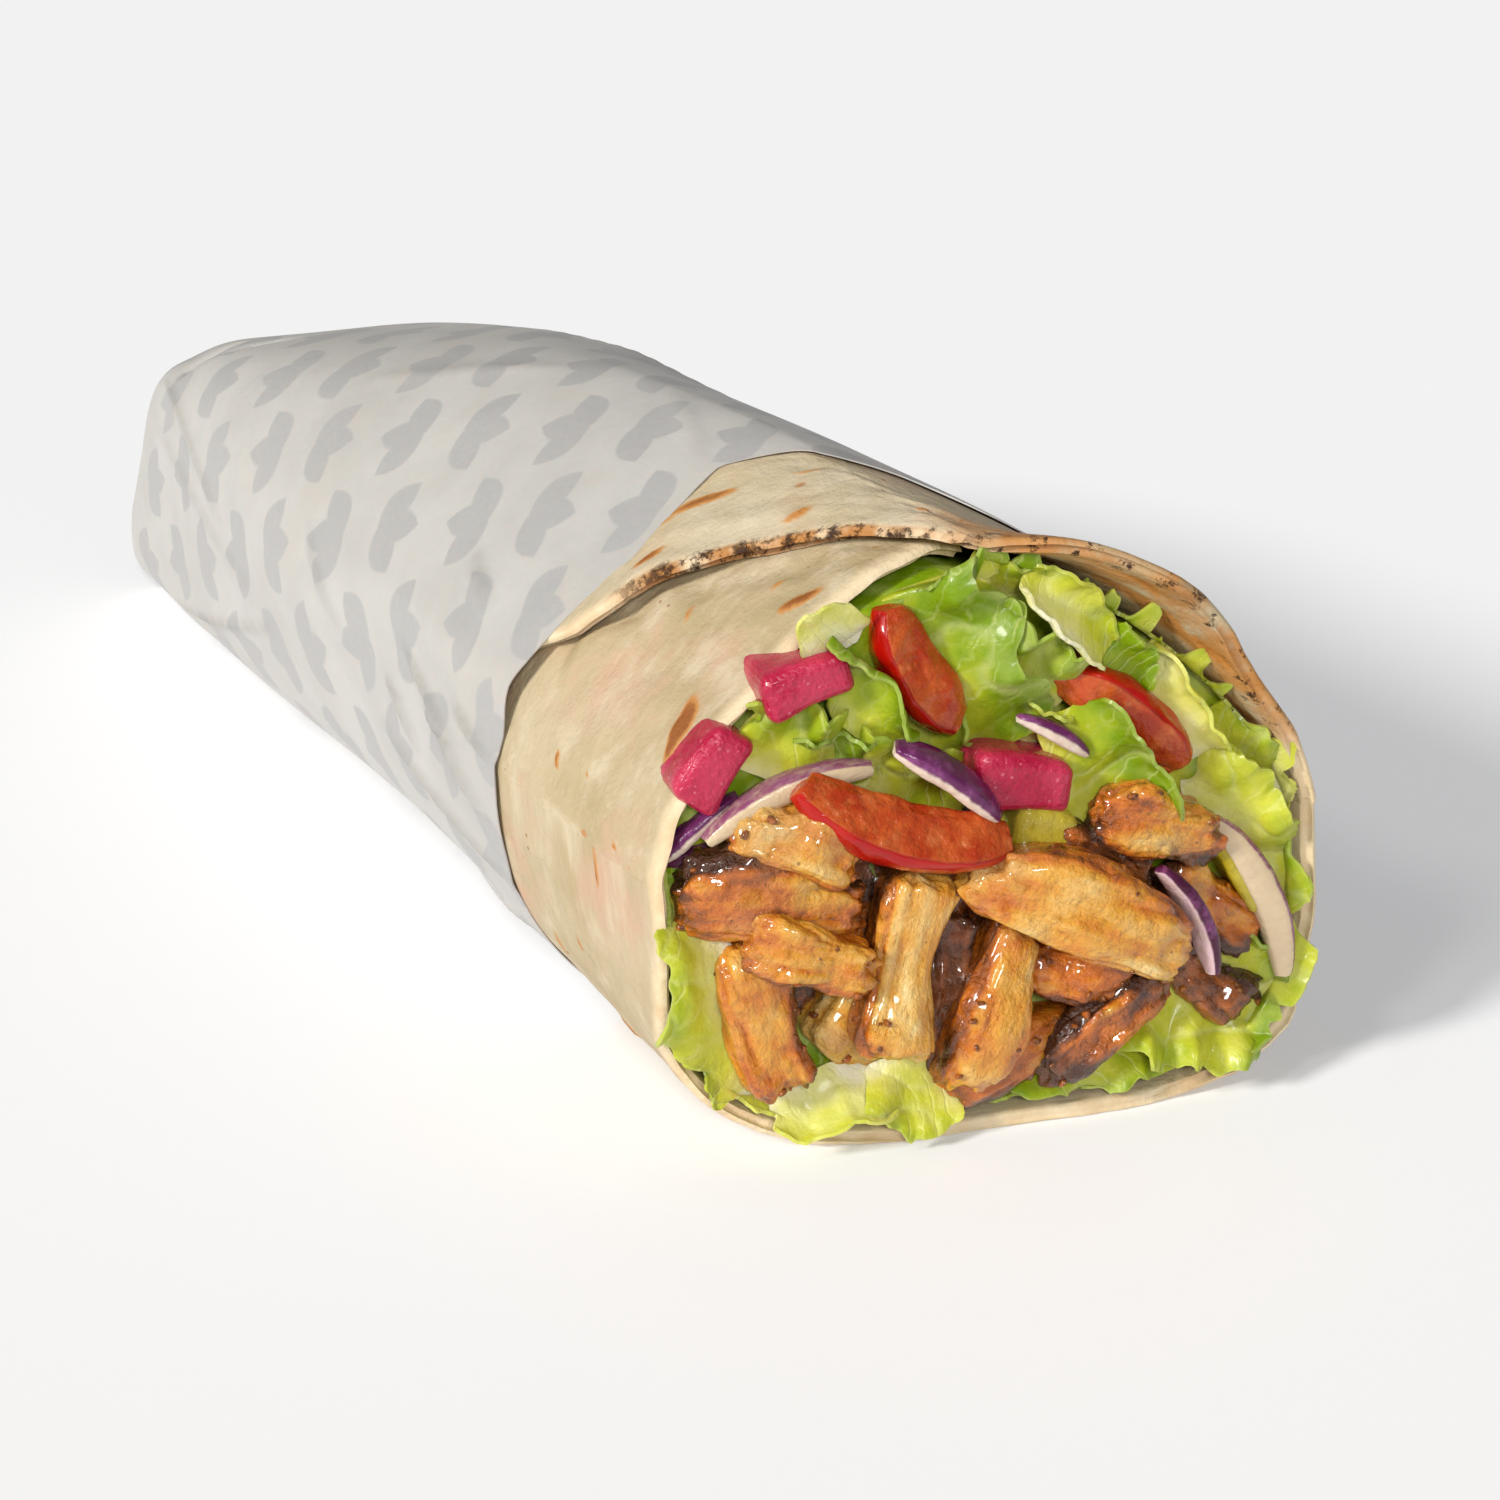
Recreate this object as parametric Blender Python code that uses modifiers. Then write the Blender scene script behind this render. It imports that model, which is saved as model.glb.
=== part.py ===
"""A flatbread roll filled with sliced chicken and salad, its rear part wrapped in paper.

Metres, +Z up. The roll lies along Y on its flattened underside, and its open mouth looks towards -Y.
The origin is on the table, under the middle of the whole roll's box.
"""

import math

import bmesh
import bpy
import numpy as np
from mathutils import Matrix, Vector, noise

MM = 0.001

# The roll, from its folded tail (station 0) to the middle of its mouth (station 1).
ROLL_LENGTH = 190 * MM
TAIL_HALF_WIDTH = 22 * MM
MOUTH_HALF_WIDTH = 41.8 * MM
TAIL_HALF_HEIGHT = 25.6 * MM
MOUTH_HALF_HEIGHT = 38.8 * MM
MOUTH_SWING = -0.342  # how far the mouth's plane runs forward for each unit to the right
MOUTH_LEAN = 0.167  # and back for each unit up
TAIL_SWING = -0.47
TAIL_LEAN = -0.5
SUNK = 0.8 * MM  # the underside is pressed flat by this much
CENTRE = Vector((-0.3 * MM, -1.2 * MM, 0.0))  # brings the roll's box to the origin

# The flatbread is one sheet, rolled up so that its last part lies over its first.
BREAD_THICKNESS = 2.4 * MM
BREAD_PITCH = 3.2 * MM  # how far the spiral steps out in a full turn
BREAD_START = 81.0  # degrees round the roll: 0 right, 90 top, 180 left, 270 underside
BREAD_END = 513.0
BREAD_TAIL = 0.045  # station where the sheet ends inside the paper

PAPER_THICKNESS = 0.5 * MM
GAP = 0.35 * MM  # clearance between pieces that touch

NEARLY_FLAT = math.radians(3)  # neighbouring facets of a heap are joined below this angle

LEAF_THICKNESS = 0.9 * MM
LEAF_STEPS_ALONG = 5
LEAF_STEPS_ACROSS = 3

MOUTH_MIDDLE = Vector((0.0, -ROLL_LENGTH / 2, 38.3 * MM))


def remove_all_objects():
    for old in list(bpy.data.objects):
        bpy.data.objects.remove(old, do_unlink=True)


def new_collection(name, parent=None):
    made = bpy.data.collections.new(name)
    (parent or bpy.context.scene.collection).children.link(made)
    return made


def material(name, colour, roughness):
    """A Principled material; colour is linear red, green and blue."""
    made = bpy.data.materials.new(name)
    made.use_nodes = True
    shader = made.node_tree.nodes["Principled BSDF"]
    shader.inputs["Base Color"].default_value = (*colour, 1.0)
    shader.inputs["Roughness"].default_value = roughness
    shader.inputs["Metallic"].default_value = 0.0
    return made


def take(obj, name, where, finish=None):
    """Names an object that was just added and moves it into a collection."""
    obj.name = name
    obj.data.name = name
    for other in list(obj.users_collection):
        other.objects.unlink(obj)
    where.objects.link(obj)
    if finish is not None:
        obj.data.materials.clear()
        obj.data.materials.append(finish)
    return obj


def power(value, exponent):
    return math.copysign((abs(value) + 1e-9) ** exponent, value)


def section(station, degrees, out=0.0):
    """A point of the roll's outline: across, forward and up, before the underside is pressed flat."""
    left = max(0.0, 1 - station)
    half_width = TAIL_HALF_WIDTH + (MOUTH_HALF_WIDTH - TAIL_HALF_WIDTH) * (1 - left**1.9)
    half_height = TAIL_HALF_HEIGHT + (MOUTH_HALF_HEIGHT - TAIL_HALF_HEIGHT) * (1 - left**2.4)
    angle = math.radians(degrees)
    squareness = 1.46 + 2.98 * left**4
    if math.sin(angle) < 0:
        squareness = 2.0 + 2.98 * left**4 + 1.86 * min(station, 1.0) ** 3
    x = power(math.cos(angle), 2 / squareness) * (half_width + out)
    rise = power(math.sin(angle), 2 / squareness) * (half_height + out)
    swing = MOUTH_SWING * station**2 + TAIL_SWING * left**3
    lean = MOUTH_LEAN * station**2 + TAIL_LEAN * left**3
    y = ROLL_LENGTH * (0.5 - station) + swing * x + lean * rise
    return Vector((x, y, half_height + rise - SUNK))


def pressed(point, floor):
    """The point, kept above a floor and moved into the part's own frame."""
    return Vector((point.x, point.y, max(point.z, floor))) + CENTRE


def ease(value, low, high):
    t = min(1.0, max(0.0, (value - low) / (high - low)))
    return t * t * (3 - 2 * t)


def bread_rim(degrees):
    """The station where the bread ends: the mouth's rim, and past the top the seam that runs back."""
    turns = (81, 180, 205, 250, 360, 400, 418, 436, 455, 463, 479, 491, 503, 513)
    rims = (0.97, 1.01, 0.97, 1.0, 1.0, 1.03, 1.05, 1.03, 1.0, 0.96, 0.888, 0.842, 0.802, 0.74)
    return float(np.interp(degrees, turns, rims))


def bread_step(degrees):
    """How far the sheet's outer side stands out of the roll's outline at this turn of the spiral."""
    return BREAD_PITCH * (degrees - 270) / 360


def bread_point(degrees, along, grow=0.0):
    """The bread's outer side. along runs from 0 at the tail to 1 at the rim."""
    rim = bread_rim(degrees) + grow / ROLL_LENGTH
    station = BREAD_TAIL + (rim - BREAD_TAIL) * along
    lobe = ease(station, 0.96, 1.05) * ease(degrees, 385, 415) * (1 - ease(degrees, 425, 450))
    flap = ease(degrees, 470, 495) * (1 - ease(degrees, 500, 512)) * ease(station, 0.78, 0.86)
    out = bread_step(degrees) + 4.5 * MM * lobe + 0.9 * MM * flap + grow
    edge = paper_edge(degrees)
    under_paper = 1 - ease(station, edge + 0.01, edge + 0.07)
    floor = (PAPER_THICKNESS + GAP) * under_paper - grow
    return pressed(section(station, degrees, out), floor)


def paper_edge(degrees):
    """The station of the paper's front edge, which sweeps forward over the top to the right side."""
    turns = (0, 45, 66, 73, 81, 89, 100, 108, 130, 156, 200, 240, 280, 320, 360)
    edges = (0.93, 0.925, 0.905, 0.862, 0.85, 0.833, 0.807, 0.785, 0.805, 0.771, 0.763, 0.79, 0.84, 0.89, 0.93)
    return float(np.interp(degrees % 360, turns, edges))


def over_bread(degrees):
    """How far out the paper has to lie to clear the bread at this angle."""
    seam = BREAD_END - 360
    if degrees <= seam:
        return GAP + PAPER_THICKNESS + bread_step(degrees + 360)
    slide = ease(degrees, seam, seam + 80)
    return GAP + PAPER_THICKNESS + bread_step(BREAD_END) * (1 - slide) + bread_step(degrees) * slide


def shaped_grid(name, columns, rows, point, where):
    """A grid primitive whose corners go to point(u, v), with u and v from 0 to 1."""
    bpy.ops.mesh.primitive_grid_add(x_subdivisions=columns, y_subdivisions=rows, size=1)
    obj = take(bpy.context.object, name, where)
    for corner in obj.data.vertices:
        corner.co = point(corner.co.x + 0.5, corner.co.y + 0.5)
    return obj


def loft(name, segments, stations, point, where, caps):
    """A closed tube through rings of point(degrees, station), its ends drawn to the two cap points."""
    bpy.ops.mesh.primitive_uv_sphere_add(segments=segments, ring_count=len(stations) + 1, radius=1)
    obj = take(bpy.context.object, name, where)
    rings = len(stations) + 1
    for corner in obj.data.vertices:
        ring = round(rings * math.acos(max(-1.0, min(1.0, corner.co.z))) / math.pi)
        if 0 < ring < rings:
            degrees = math.degrees(math.atan2(corner.co.y, corner.co.x)) % 360
            corner.co = point(degrees, stations[ring - 1])
        else:
            corner.co = caps[0] if ring == 0 else caps[1]
    return obj


def edit(obj, change):
    """Runs change(bm) on the object's mesh."""
    bm = bmesh.new()
    bm.from_mesh(obj.data)
    change(bm)
    bm.to_mesh(obj.data)
    bm.free()
    obj.data.update()


def face_outwards(bm):
    bmesh.ops.recalc_face_normals(bm, faces=bm.faces)


def split_alike(bm):
    bmesh.ops.triangulate(bm, faces=bm.faces)


def solidify(obj, thickness, side=-1.0):
    shell = obj.modifiers.new("thickness", "SOLIDIFY")
    shell.thickness = thickness
    shell.offset = side
    shell.use_even_offset = False


def settle(obj):
    """Applies every modifier by taking the evaluated mesh."""
    bpy.context.view_layer.update()
    seen = obj.evaluated_get(bpy.context.evaluated_depsgraph_get())
    mesh = bpy.data.meshes.new_from_object(seen)
    obj.modifiers.clear()
    obj.data = mesh
    mesh.name = obj.name


def boolean(obj, others, operation, solver="MANIFOLD"):
    """One Boolean of the object with a whole collection, applied."""
    cut = obj.modifiers.new(operation.lower(), "BOOLEAN")
    cut.operation = operation
    cut.operand_type = "COLLECTION"
    cut.collection = others
    cut.solver = solver
    settle(obj)


def signed_volume(faces):
    """Volume that a closed set of triangles encloses; a cavity's is negative."""
    total = 0.0
    for face in faces:
        a, b, c = (loop.vert.co for loop in face.loops)
        total += a.dot(b.cross(c)) / 6
    return total


def islands(bm):
    left = set(bm.faces)
    found = []
    while left:
        front = [left.pop()]
        island = list(front)
        while front:
            face = front.pop()
            for edge in face.edges:
                for near in edge.link_faces:
                    if near in left:
                        left.remove(near)
                        front.append(near)
                        island.append(near)
        found.append(island)
    return found


def keep_main_body(bm):
    """Drops loose scraps and fills sealed hollows: only the largest shell stays."""
    split_alike(bm)
    found = islands(bm)
    main = max(found, key=signed_volume)
    extra = [face for island in found if island is not main for face in island]
    bmesh.ops.delete(bm, geom=extra, context="FACES")
    bmesh.ops.dissolve_limit(bm, angle_limit=NEARLY_FLAT, verts=bm.verts, edges=bm.edges)
    split_alike(bm)


def discard(collection):
    for obj in list(collection.objects):
        bpy.data.objects.remove(obj, do_unlink=True)
    bpy.data.collections.remove(collection)


def hide_cutter(obj):
    obj.hide_render = True
    obj.display_type = "WIRE"


def mouth_frame():
    """Axes of the mouth's plane: across to the right, up, and out towards the eater."""
    across = Vector((1.0, MOUTH_SWING, 0.0)).normalized()
    up = Vector((0.0, MOUTH_LEAN, 1.0))
    up = (up - across * up.dot(across)).normalized()
    out = up.cross(across) * -1
    return across, up, out


def placed(across, up, out, turn, dip=0.0, roll=0.0):
    """Matrix of a piece in the mouth: its place in mm on the mouth's plane, its long axis turned
    anticlockwise by turn, its far end tipped out by dip, and rolled about that axis."""
    axis_u, axis_v, axis_n = mouth_frame()
    centre = MOUTH_MIDDLE + CENTRE + MM * (across * axis_u + (up - 38.3) * axis_v + out * axis_n)
    basis = Matrix((axis_u, axis_v, axis_n)).transposed().to_4x4()
    turned = Matrix.Rotation(math.radians(turn), 4, "Z") @ Matrix.Rotation(math.radians(-dip), 4, "Y")
    return Matrix.Translation(centre) @ basis @ turned @ Matrix.Rotation(math.radians(roll), 4, "X")


def put(obj, matrix):
    """Bakes the place into the mesh, so that the object's own origin stays at the part's origin."""
    obj.data.transform(matrix)
    edit(obj, face_outwards)
    return obj


def rough(point, size, depth, seed):
    """Uneven relief of the given depth, with bumps about size across."""
    where = Vector(point) / size + Vector((seed * 7.3, seed * 3.1, seed * 5.7))
    return depth * noise.noise(where)


def strip(name, where, length, width, thickness, bend, seed, grow=0.0):
    """A sliced piece of chicken: a flattened, bent lump with blunt, uneven ends."""
    bpy.ops.mesh.primitive_uv_sphere_add(segments=8, ring_count=5, radius=1)
    obj = take(bpy.context.object, name, where)
    obj.data.transform(Matrix.Rotation(math.pi / 2, 4, "Y"))
    for corner in obj.data.vertices:
        x, y, z = corner.co
        fat = 1 + 0.16 * math.sin(3 * x + seed)
        along = power(x, 0.75)
        spot = Vector((
            along * (length / 2 + grow),
            power(y, 0.8) * (width / 2 * fat + grow) + 0.12 * width * math.sin(2.2 * along + seed),
            power(z, 0.8) * (thickness / 2 + grow) - bend * along * along,
        ))
        lump = rough(spot, 6 * MM, 0.7 * MM, seed)
        corner.co = spot + Vector((x, y, z)) * lump
    return obj


def arc_piece(name, where, length, width, thickness, radius, grow=0.0, taper=0.0, wedge=0.0):
    """A slice that curves along an arc of the given radius in its own plane, such as a strip of onion
    or a wedge of tomato. wedge thins its inner side, taper thins its ends."""
    bpy.ops.mesh.primitive_cube_add(size=2)
    obj = take(bpy.context.object, name, where)

    def cut_along(bm):
        long_edges = [e for e in bm.edges if abs(e.verts[0].co.x - e.verts[1].co.x) > 1]
        bmesh.ops.subdivide_edges(bm, edges=long_edges, cuts=7, use_grid_fill=True)
        wide_edges = [e for e in bm.edges if abs(e.verts[0].co.y - e.verts[1].co.y) > 1]
        bmesh.ops.subdivide_edges(bm, edges=wide_edges, cuts=1, use_grid_fill=True)

    edit(obj, cut_along)
    for corner in obj.data.vertices:
        x, y, z = corner.co
        ends = 1 - taper * abs(x) ** 3
        reach = (length / 2 + grow) * x / radius
        side = y * (width / 2 * ends + grow)
        thick = (thickness / 2) * ends * (1 - wedge * (1 - y) / 2) + grow
        round_off = 1 - 0.18 * abs(y) * abs(z)
        corner.co = Vector((
            math.sin(reach) * (radius + side * round_off),
            math.cos(reach) * (radius + side * round_off) - radius,
            z * thick * round_off,
        ))
    edit(obj, split_alike)
    return obj


def block(name, where, length, width, depth, grow=0.0):
    """A cut baton with softened edges, standing on its end in the filling."""
    bpy.ops.mesh.primitive_cube_add(size=1)
    obj = take(bpy.context.object, name, where)
    obj.data.transform(Matrix.Diagonal((length + 2 * grow, width + 2 * grow, depth + 2 * grow, 1)))
    soft = obj.modifiers.new("softened edges", "BEVEL")
    soft.width = 1.3 * MM
    soft.segments = 2
    settle(obj)
    return obj


def leaf(name, where, length, width, curl, ruffle, waves, bow, seed):
    """A torn lettuce leaf: a thin sheet curled across its width, its far side ruffled."""
    angle = math.radians(curl)

    def point(u, v):
        narrow = 0.66 + 0.34 * math.sin(math.pi * u)
        side = (v - 0.5) * narrow
        across = width * math.sin(angle * side) / angle
        lift = width * (1 - math.cos(angle * side)) / angle
        wave = 2 * math.pi * waves * u + 1.7 * seed
        frill = ruffle * v**1.5 * math.sin(wave)
        reach = 0.35 * ruffle * v * v * math.cos(1.3 * wave)
        return Vector(((u - 0.5) * length, across + reach, lift + frill - bow * (2 * u - 1) ** 2))

    obj = shaped_grid(name, LEAF_STEPS_ALONG, LEAF_STEPS_ACROSS, point, where)
    edit(obj, split_alike)
    solidify(obj, LEAF_THICKNESS, 0.0)
    settle(obj)
    return obj


# Sliced chicken: across, up, out of the mouth's plane, length, width, thickness, turn, dip, all in mm
# and degrees.
CHICKEN = (
    (-25, 42.5, 3, 19, 8.5, 8, -27, 4),
    (-28.5, 35, 0, 27, 11, 10, -5, 6),
    (-24.5, 28.5, 4, 19, 9, 8, -12, 10),
    (-29.5, 20, 0, 24, 11, 9, -76, 8),
    (-11.5, 24.5, 2, 27, 10, 9, -107, 10),
    (-4.5, 18, -3, 26, 8, 9, -98, 0),
    (-0.5, 17.5, 1, 25, 9.5, 9, -119, 6),
    (10.5, 30, 6, 34, 11.5, 9, -26, 6),
    (22, 38.5, 2, 20, 9, 8, -12, 4),
    (15, 34.5, -1, 18, 10, 9, -10, 0),
    (31, 26.5, -1, 18, 9, 8, -40, 0),
    (30.5, 15.5, -2, 15, 8, 8, -50, 0),
    (12.5, 19.5, 0, 17, 8.5, 8, -20, 0),
    (15, 12, 1, 24, 7, 7, 32, 0),
    (3, 9, -1, 24, 8, 8, 24, 0),
    (-18, 15, -3, 14, 9, 8, -45, 0),
)

# Lettuce leaves: across, up, out, length, width, turn, roll, curl, ruffle, waves, bow.
LEAVES = (
    (-1.8, 63, 0, 28, 15, -63, 30, 50, 2.2, 2, 2),
    (-15.2, 60.6, 1.5, 17, 10, -54, 30, 80, 1.5, 1, 2),
    (5.2, 62, 0.5, 17, 12, -34, 35, 60, 2.0, 2, 1),
    (10.6, 67.2, 1.5, 15, 11, -46, -30, 150, 0.8, 1, 0.5),
    (19, 60.6, 1, 10, 7, -66, 30, 120, 1.0, 1, 1),
    (25.5, 53.8, 1, 18, 10, -57, 35, 80, 1.2, 1, 2),
    (34.5, 46.5, -1, 13, 9, -50, 30, 40, 1.0, 1, 1),
    (34.3, 38, 0.5, 19, 12, -57, 30, 50, 1.2, 2, 2),
    (17, 45.5, 1.5, 22, 15, -60, 25, 60, 1.8, 1, 2),
    (-24, 54.7, 0.5, 23, 13, -24, 20, 50, 2.0, 3, 1),
    (-22, 67.2, -2, 13, 8, 14, 25, 30, 0.8, 1, 1),
    (-29.5, 60, -2, 9, 7, -10, 30, 40, 1.2, 2, 1),
    (-10, 47.5, -2, 19, 12, -25, 25, 50, 1.5, 2, 1),
    (7.5, 52.8, -2, 12, 8, -12, 30, 40, 1.0, 1, 1),
    (-36.3, 21.6, 0.8, 25, 13, 100, 28, 40, 1.8, 2, 2),
    (-39.5, 32.4, -1.5, 15, 6, 94, 40, 30, 0.8, 1, 1),
    (-21, 7.5, -0.5, 16, 10, 181, 35, 40, 1.2, 1, 1),
    (-10.4, 7, 0.5, 13, 10, 165, 35, 40, 1.2, 1, 1),
    (14, 6.5, -0.5, 24, 9, 180, 35, 40, 1.5, 2, 1),
    (27, 10, 0.5, 22, 13, 167, 35, 50, 2.0, 3, 1),
    (36.5, 17, 0, 12, 8, -55, 30, 30, 1.0, 1, 1),
    (4, 71.5, -2, 14, 8, -35, 25, 30, 1.0, 1, 1),
)

# Curved slices: name, across, up, out, length, width, thickness, arc radius, turn, roll, wedge.
TOMATOES = (
    ("tomato_1", -12.5, 43.0, 5.0, 29, 8.5, 8, -38, -22, -20, 0.6),
    ("tomato_2", -8.4, 61.8, -0.5, 18, 8, 7, 26, 118, 10, 0.5),
    ("tomato_3", 19.6, 53.2, 0.2, 21, 7.5, 7, 40, -42, 10, 0.5),
    ("tomato_4", 12.2, 58.6, -0.8, 10, 6, 6, 26, -50, 10, 0.4),
)
ONIONS = (
    ("onion_1", -26.0, 49.0, 0.5, 23, 3.4, 5.0, 30, 18, 0, 0.0),
    ("onion_2", -36.3, 45.2, -2.0, 12, 2.4, 5.0, 26, 36, 0, 0.0),
    ("onion_3", -36.2, 41.2, -3.5, 9, 2.6, 6.0, 14, 5, 0, 0.0),
    ("onion_4", -5.5, 49.5, 5.0, 17, 3.2, 5.0, 32, -39, 25, 0.0),
    ("onion_5", 9.0, 52.4, 1.6, 11, 2.4, 3.0, 26, -33, 0, 0.0),
    ("onion_6", 25.8, 27.6, 6.5, 17, 2.6, 4.0, 22, -65, -20, 0.0),
    ("onion_7", 37.0, 27.6, 1.8, 25, 4.6, 3.6, 34, -66, 0, 0.0),
)
# Pickled turnip batons and cucumber: name, across, up, out, length, width, depth, turn.
PICKLES = (
    ("turnip_1", -22.7, 62.2, -3.0, 11.5, 6.0, 13, 15),
    ("turnip_2", -34.2, 52.4, -4.5, 11.0, 6.5, 12, 53),
    ("turnip_3", 4.2, 46.2, -2.0, 13.0, 7.5, 12, -10),
    ("cucumber_1", 7.0, 38.6, -1.0, 8.5, 8.0, 9, -12),
    ("cucumber_2", 33.4, 30.2, -1.0, 11.5, 2.4, 8, -62),
)


def build_bread(name, where, grow=0.0):
    """The rolled sheet; grow makes it larger all round, to cut clearance in the filling."""

    def point(u, v):
        degrees = BREAD_START + (BREAD_END - BREAD_START) * u
        return bread_point(degrees, 1 - (1 - v) ** 1.4, grow)

    obj = shaped_grid(name, 48, 10, point, where)
    edit(obj, split_alike)
    solidify(obj, BREAD_THICKNESS + 2 * grow)
    return obj


def paper_point(degrees, along, out=0.0):
    """The paper's outer side; along runs from 0 at the tail's fold to 1 at the front edge."""
    station = paper_edge(degrees) * along
    return pressed(section(station, degrees, over_bread(degrees) + out), -out)


def tail_fold(degrees, size, back):
    """A point of the paper's folded end: its rim drawn in to the given size and pushed back."""
    middle = Vector((0.0, ROLL_LENGTH / 2, TAIL_HALF_HEIGHT - SUNK)) + CENTRE
    return middle.lerp(paper_point(degrees, 0.0), size) + Vector((0.0, back, 0.0))


def build_paper(where, finish):
    sides = 40
    stations = (1.0, 0.88, 0.74, 0.6, 0.45, 0.3, 0.16, 0.05, 0.0, -1.0)

    def ring(degrees, station):
        if station >= 0:
            return paper_point(degrees, station)
        return tail_fold(degrees, 0.6, 1.0 * MM)

    front = paper_point(90, 1.0)
    obj = loft("paper", sides, stations, ring, where, (front, tail_fold(0, 0.0, 1.4 * MM)))

    def open_front(bm):
        mouth = max(bm.verts, key=lambda v: -(v.co - front).length)
        bmesh.ops.delete(bm, geom=[mouth], context="VERTS")
        face_outwards(bm)
        split_alike(bm)

    edit(obj, open_front)
    obj.data.materials.append(finish)
    solidify(obj, PAPER_THICKNESS)
    return obj


def inner_point(degrees, station):
    """The filling's outline: the inside of the bread, less a clearance."""
    turn = degrees if degrees > BREAD_START else degrees + 360
    towards_seam = ease(degrees, 40, BREAD_START - 6) if degrees <= BREAD_START else 0.0
    step = bread_step(turn) * (1 - towards_seam) + bread_step(BREAD_START) * towards_seam
    out = step - BREAD_THICKNESS - 1.2 * MM
    floor = BREAD_THICKNESS + PAPER_THICKNESS + 3 * GAP
    return pressed(section(station, degrees, out), floor)


def build_core(name, where, point, rim, rise):
    """The packed middle of a heap, from a front at the mouth that bulges by rise back to near the tail."""
    out = mouth_frame()[2]
    rings = [[point(d, s) for d in range(0, 360, 30)] for s in (rim, CORE_STATIONS[-1])]
    front, back = (sum(ring, Vector()) / len(ring) for ring in rings)

    def ring(degrees, station):
        if station > 1:
            return point(degrees, rim).lerp(front, 0.35) + 0.7 * rise * out
        return point(degrees, station)

    obj = loft(name, 24, (2.0, rim, *CORE_STATIONS), ring, where, (front + rise * out, back))
    edit(obj, face_outwards)
    return obj


CORE_STATIONS = (0.8, 0.55, 0.3, 0.1)


def chicken_core_point(grow):
    def point(degrees, station):
        """The chicken lies in the lower middle of the roll, from the mouth to near the tail."""
        station = max(station, 0.14)
        outline = section(station, degrees)
        top = section(station, 90).z
        x = (section(station, 0).x * 0.8 + grow) * power(math.cos(math.radians(degrees)), 0.8)
        z = 0.31 * top + (0.235 * top + grow) * power(math.sin(math.radians(degrees)), 0.8)
        left = 1 - station
        swing = MOUTH_SWING * station**2 + TAIL_SWING * left**3
        lean = MOUTH_LEAN * station**2 + TAIL_LEAN * left**3
        y = outline.y + swing * (x - outline.x) + lean * (z - outline.z)
        return Vector((x, y - grow if station > 0.9 else y, z)) + CENTRE

    return point


def add_strips(where, grow):
    for index, (across, up, out, length, width, thickness, turn, dip) in enumerate(CHICKEN):
        piece = strip(
            f"strip_{index + 1}", where, length * MM, width * MM, thickness * MM, 0.8 * MM, index + 1, grow
        )
        put(piece, placed(across, up, out, turn, dip))


def add_leaves(where):
    for index, row in enumerate(LEAVES):
        across, up, out, length, width, turn, roll, curl, ruffle, waves, bow = row
        piece = leaf(
            f"leaf_{index + 1}", where, length * MM, width * MM, curl, ruffle * MM, waves, bow * MM, index
        )
        put(piece, placed(across, up, out, turn, 0.0, roll))


def add_slices(rows, where, grow, finish=None, taper=0.5):
    made = []
    for name, across, up, out, length, width, thickness, radius, turn, roll, wedge in rows:
        piece = arc_piece(
            name, where, length * MM, width * MM, thickness * MM, abs(radius) * MM, grow, taper, wedge
        )
        if radius < 0:
            piece.data.transform(Matrix.Rotation(math.pi, 4, "X"))
        put(piece, placed(across, up, out, turn, 0.0, roll))
        if finish:
            piece.data.materials.append(finish)
        made.append(piece)
    return made


def add_pickles(where, grow, finishes=None):
    made = []
    for name, across, up, out, length, width, depth, turn in PICKLES:
        piece = block(name, where, length * MM, width * MM, depth * MM, grow)
        put(piece, placed(across, up, out, turn))
        if finishes:
            piece.data.materials.append(finishes[name.split("_")[0]])
        made.append(piece)
    return made


def topping_cutters():
    """Every topping a little larger, to cut its bed in the heaps."""
    cutters = new_collection("topping cutters")
    add_slices(TOMATOES, cutters, GAP)
    add_slices(ONIONS, cutters, GAP)
    add_pickles(cutters, GAP)
    for piece in cutters.objects:
        hide_cutter(piece)
    return cutters


def build_heap(name, where, finish, core, pieces, cutters):
    """A core with its pieces fused on by one union, then cut back from its neighbours."""
    take(core, name, where, finish)
    boolean(core, pieces, "UNION")
    for cutter in cutters:
        boolean(core, cutter, "DIFFERENCE")
    edit(core, keep_main_body)
    discard(pieces)
    return core


def cut_each_by_earlier(pieces, cutters, bread_cutter):
    """Where a topping meets the bread, or one before it in the list, it gives way."""
    for index, piece in enumerate(pieces):
        before = new_collection("before")
        for earlier in cutters[:index]:
            before.objects.link(earlier)
        if index:
            boolean(piece, before, "DIFFERENCE")
        boolean(piece, bread_cutter, "DIFFERENCE")
        edit(piece, keep_main_body)
        bpy.data.collections.remove(before)


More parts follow.
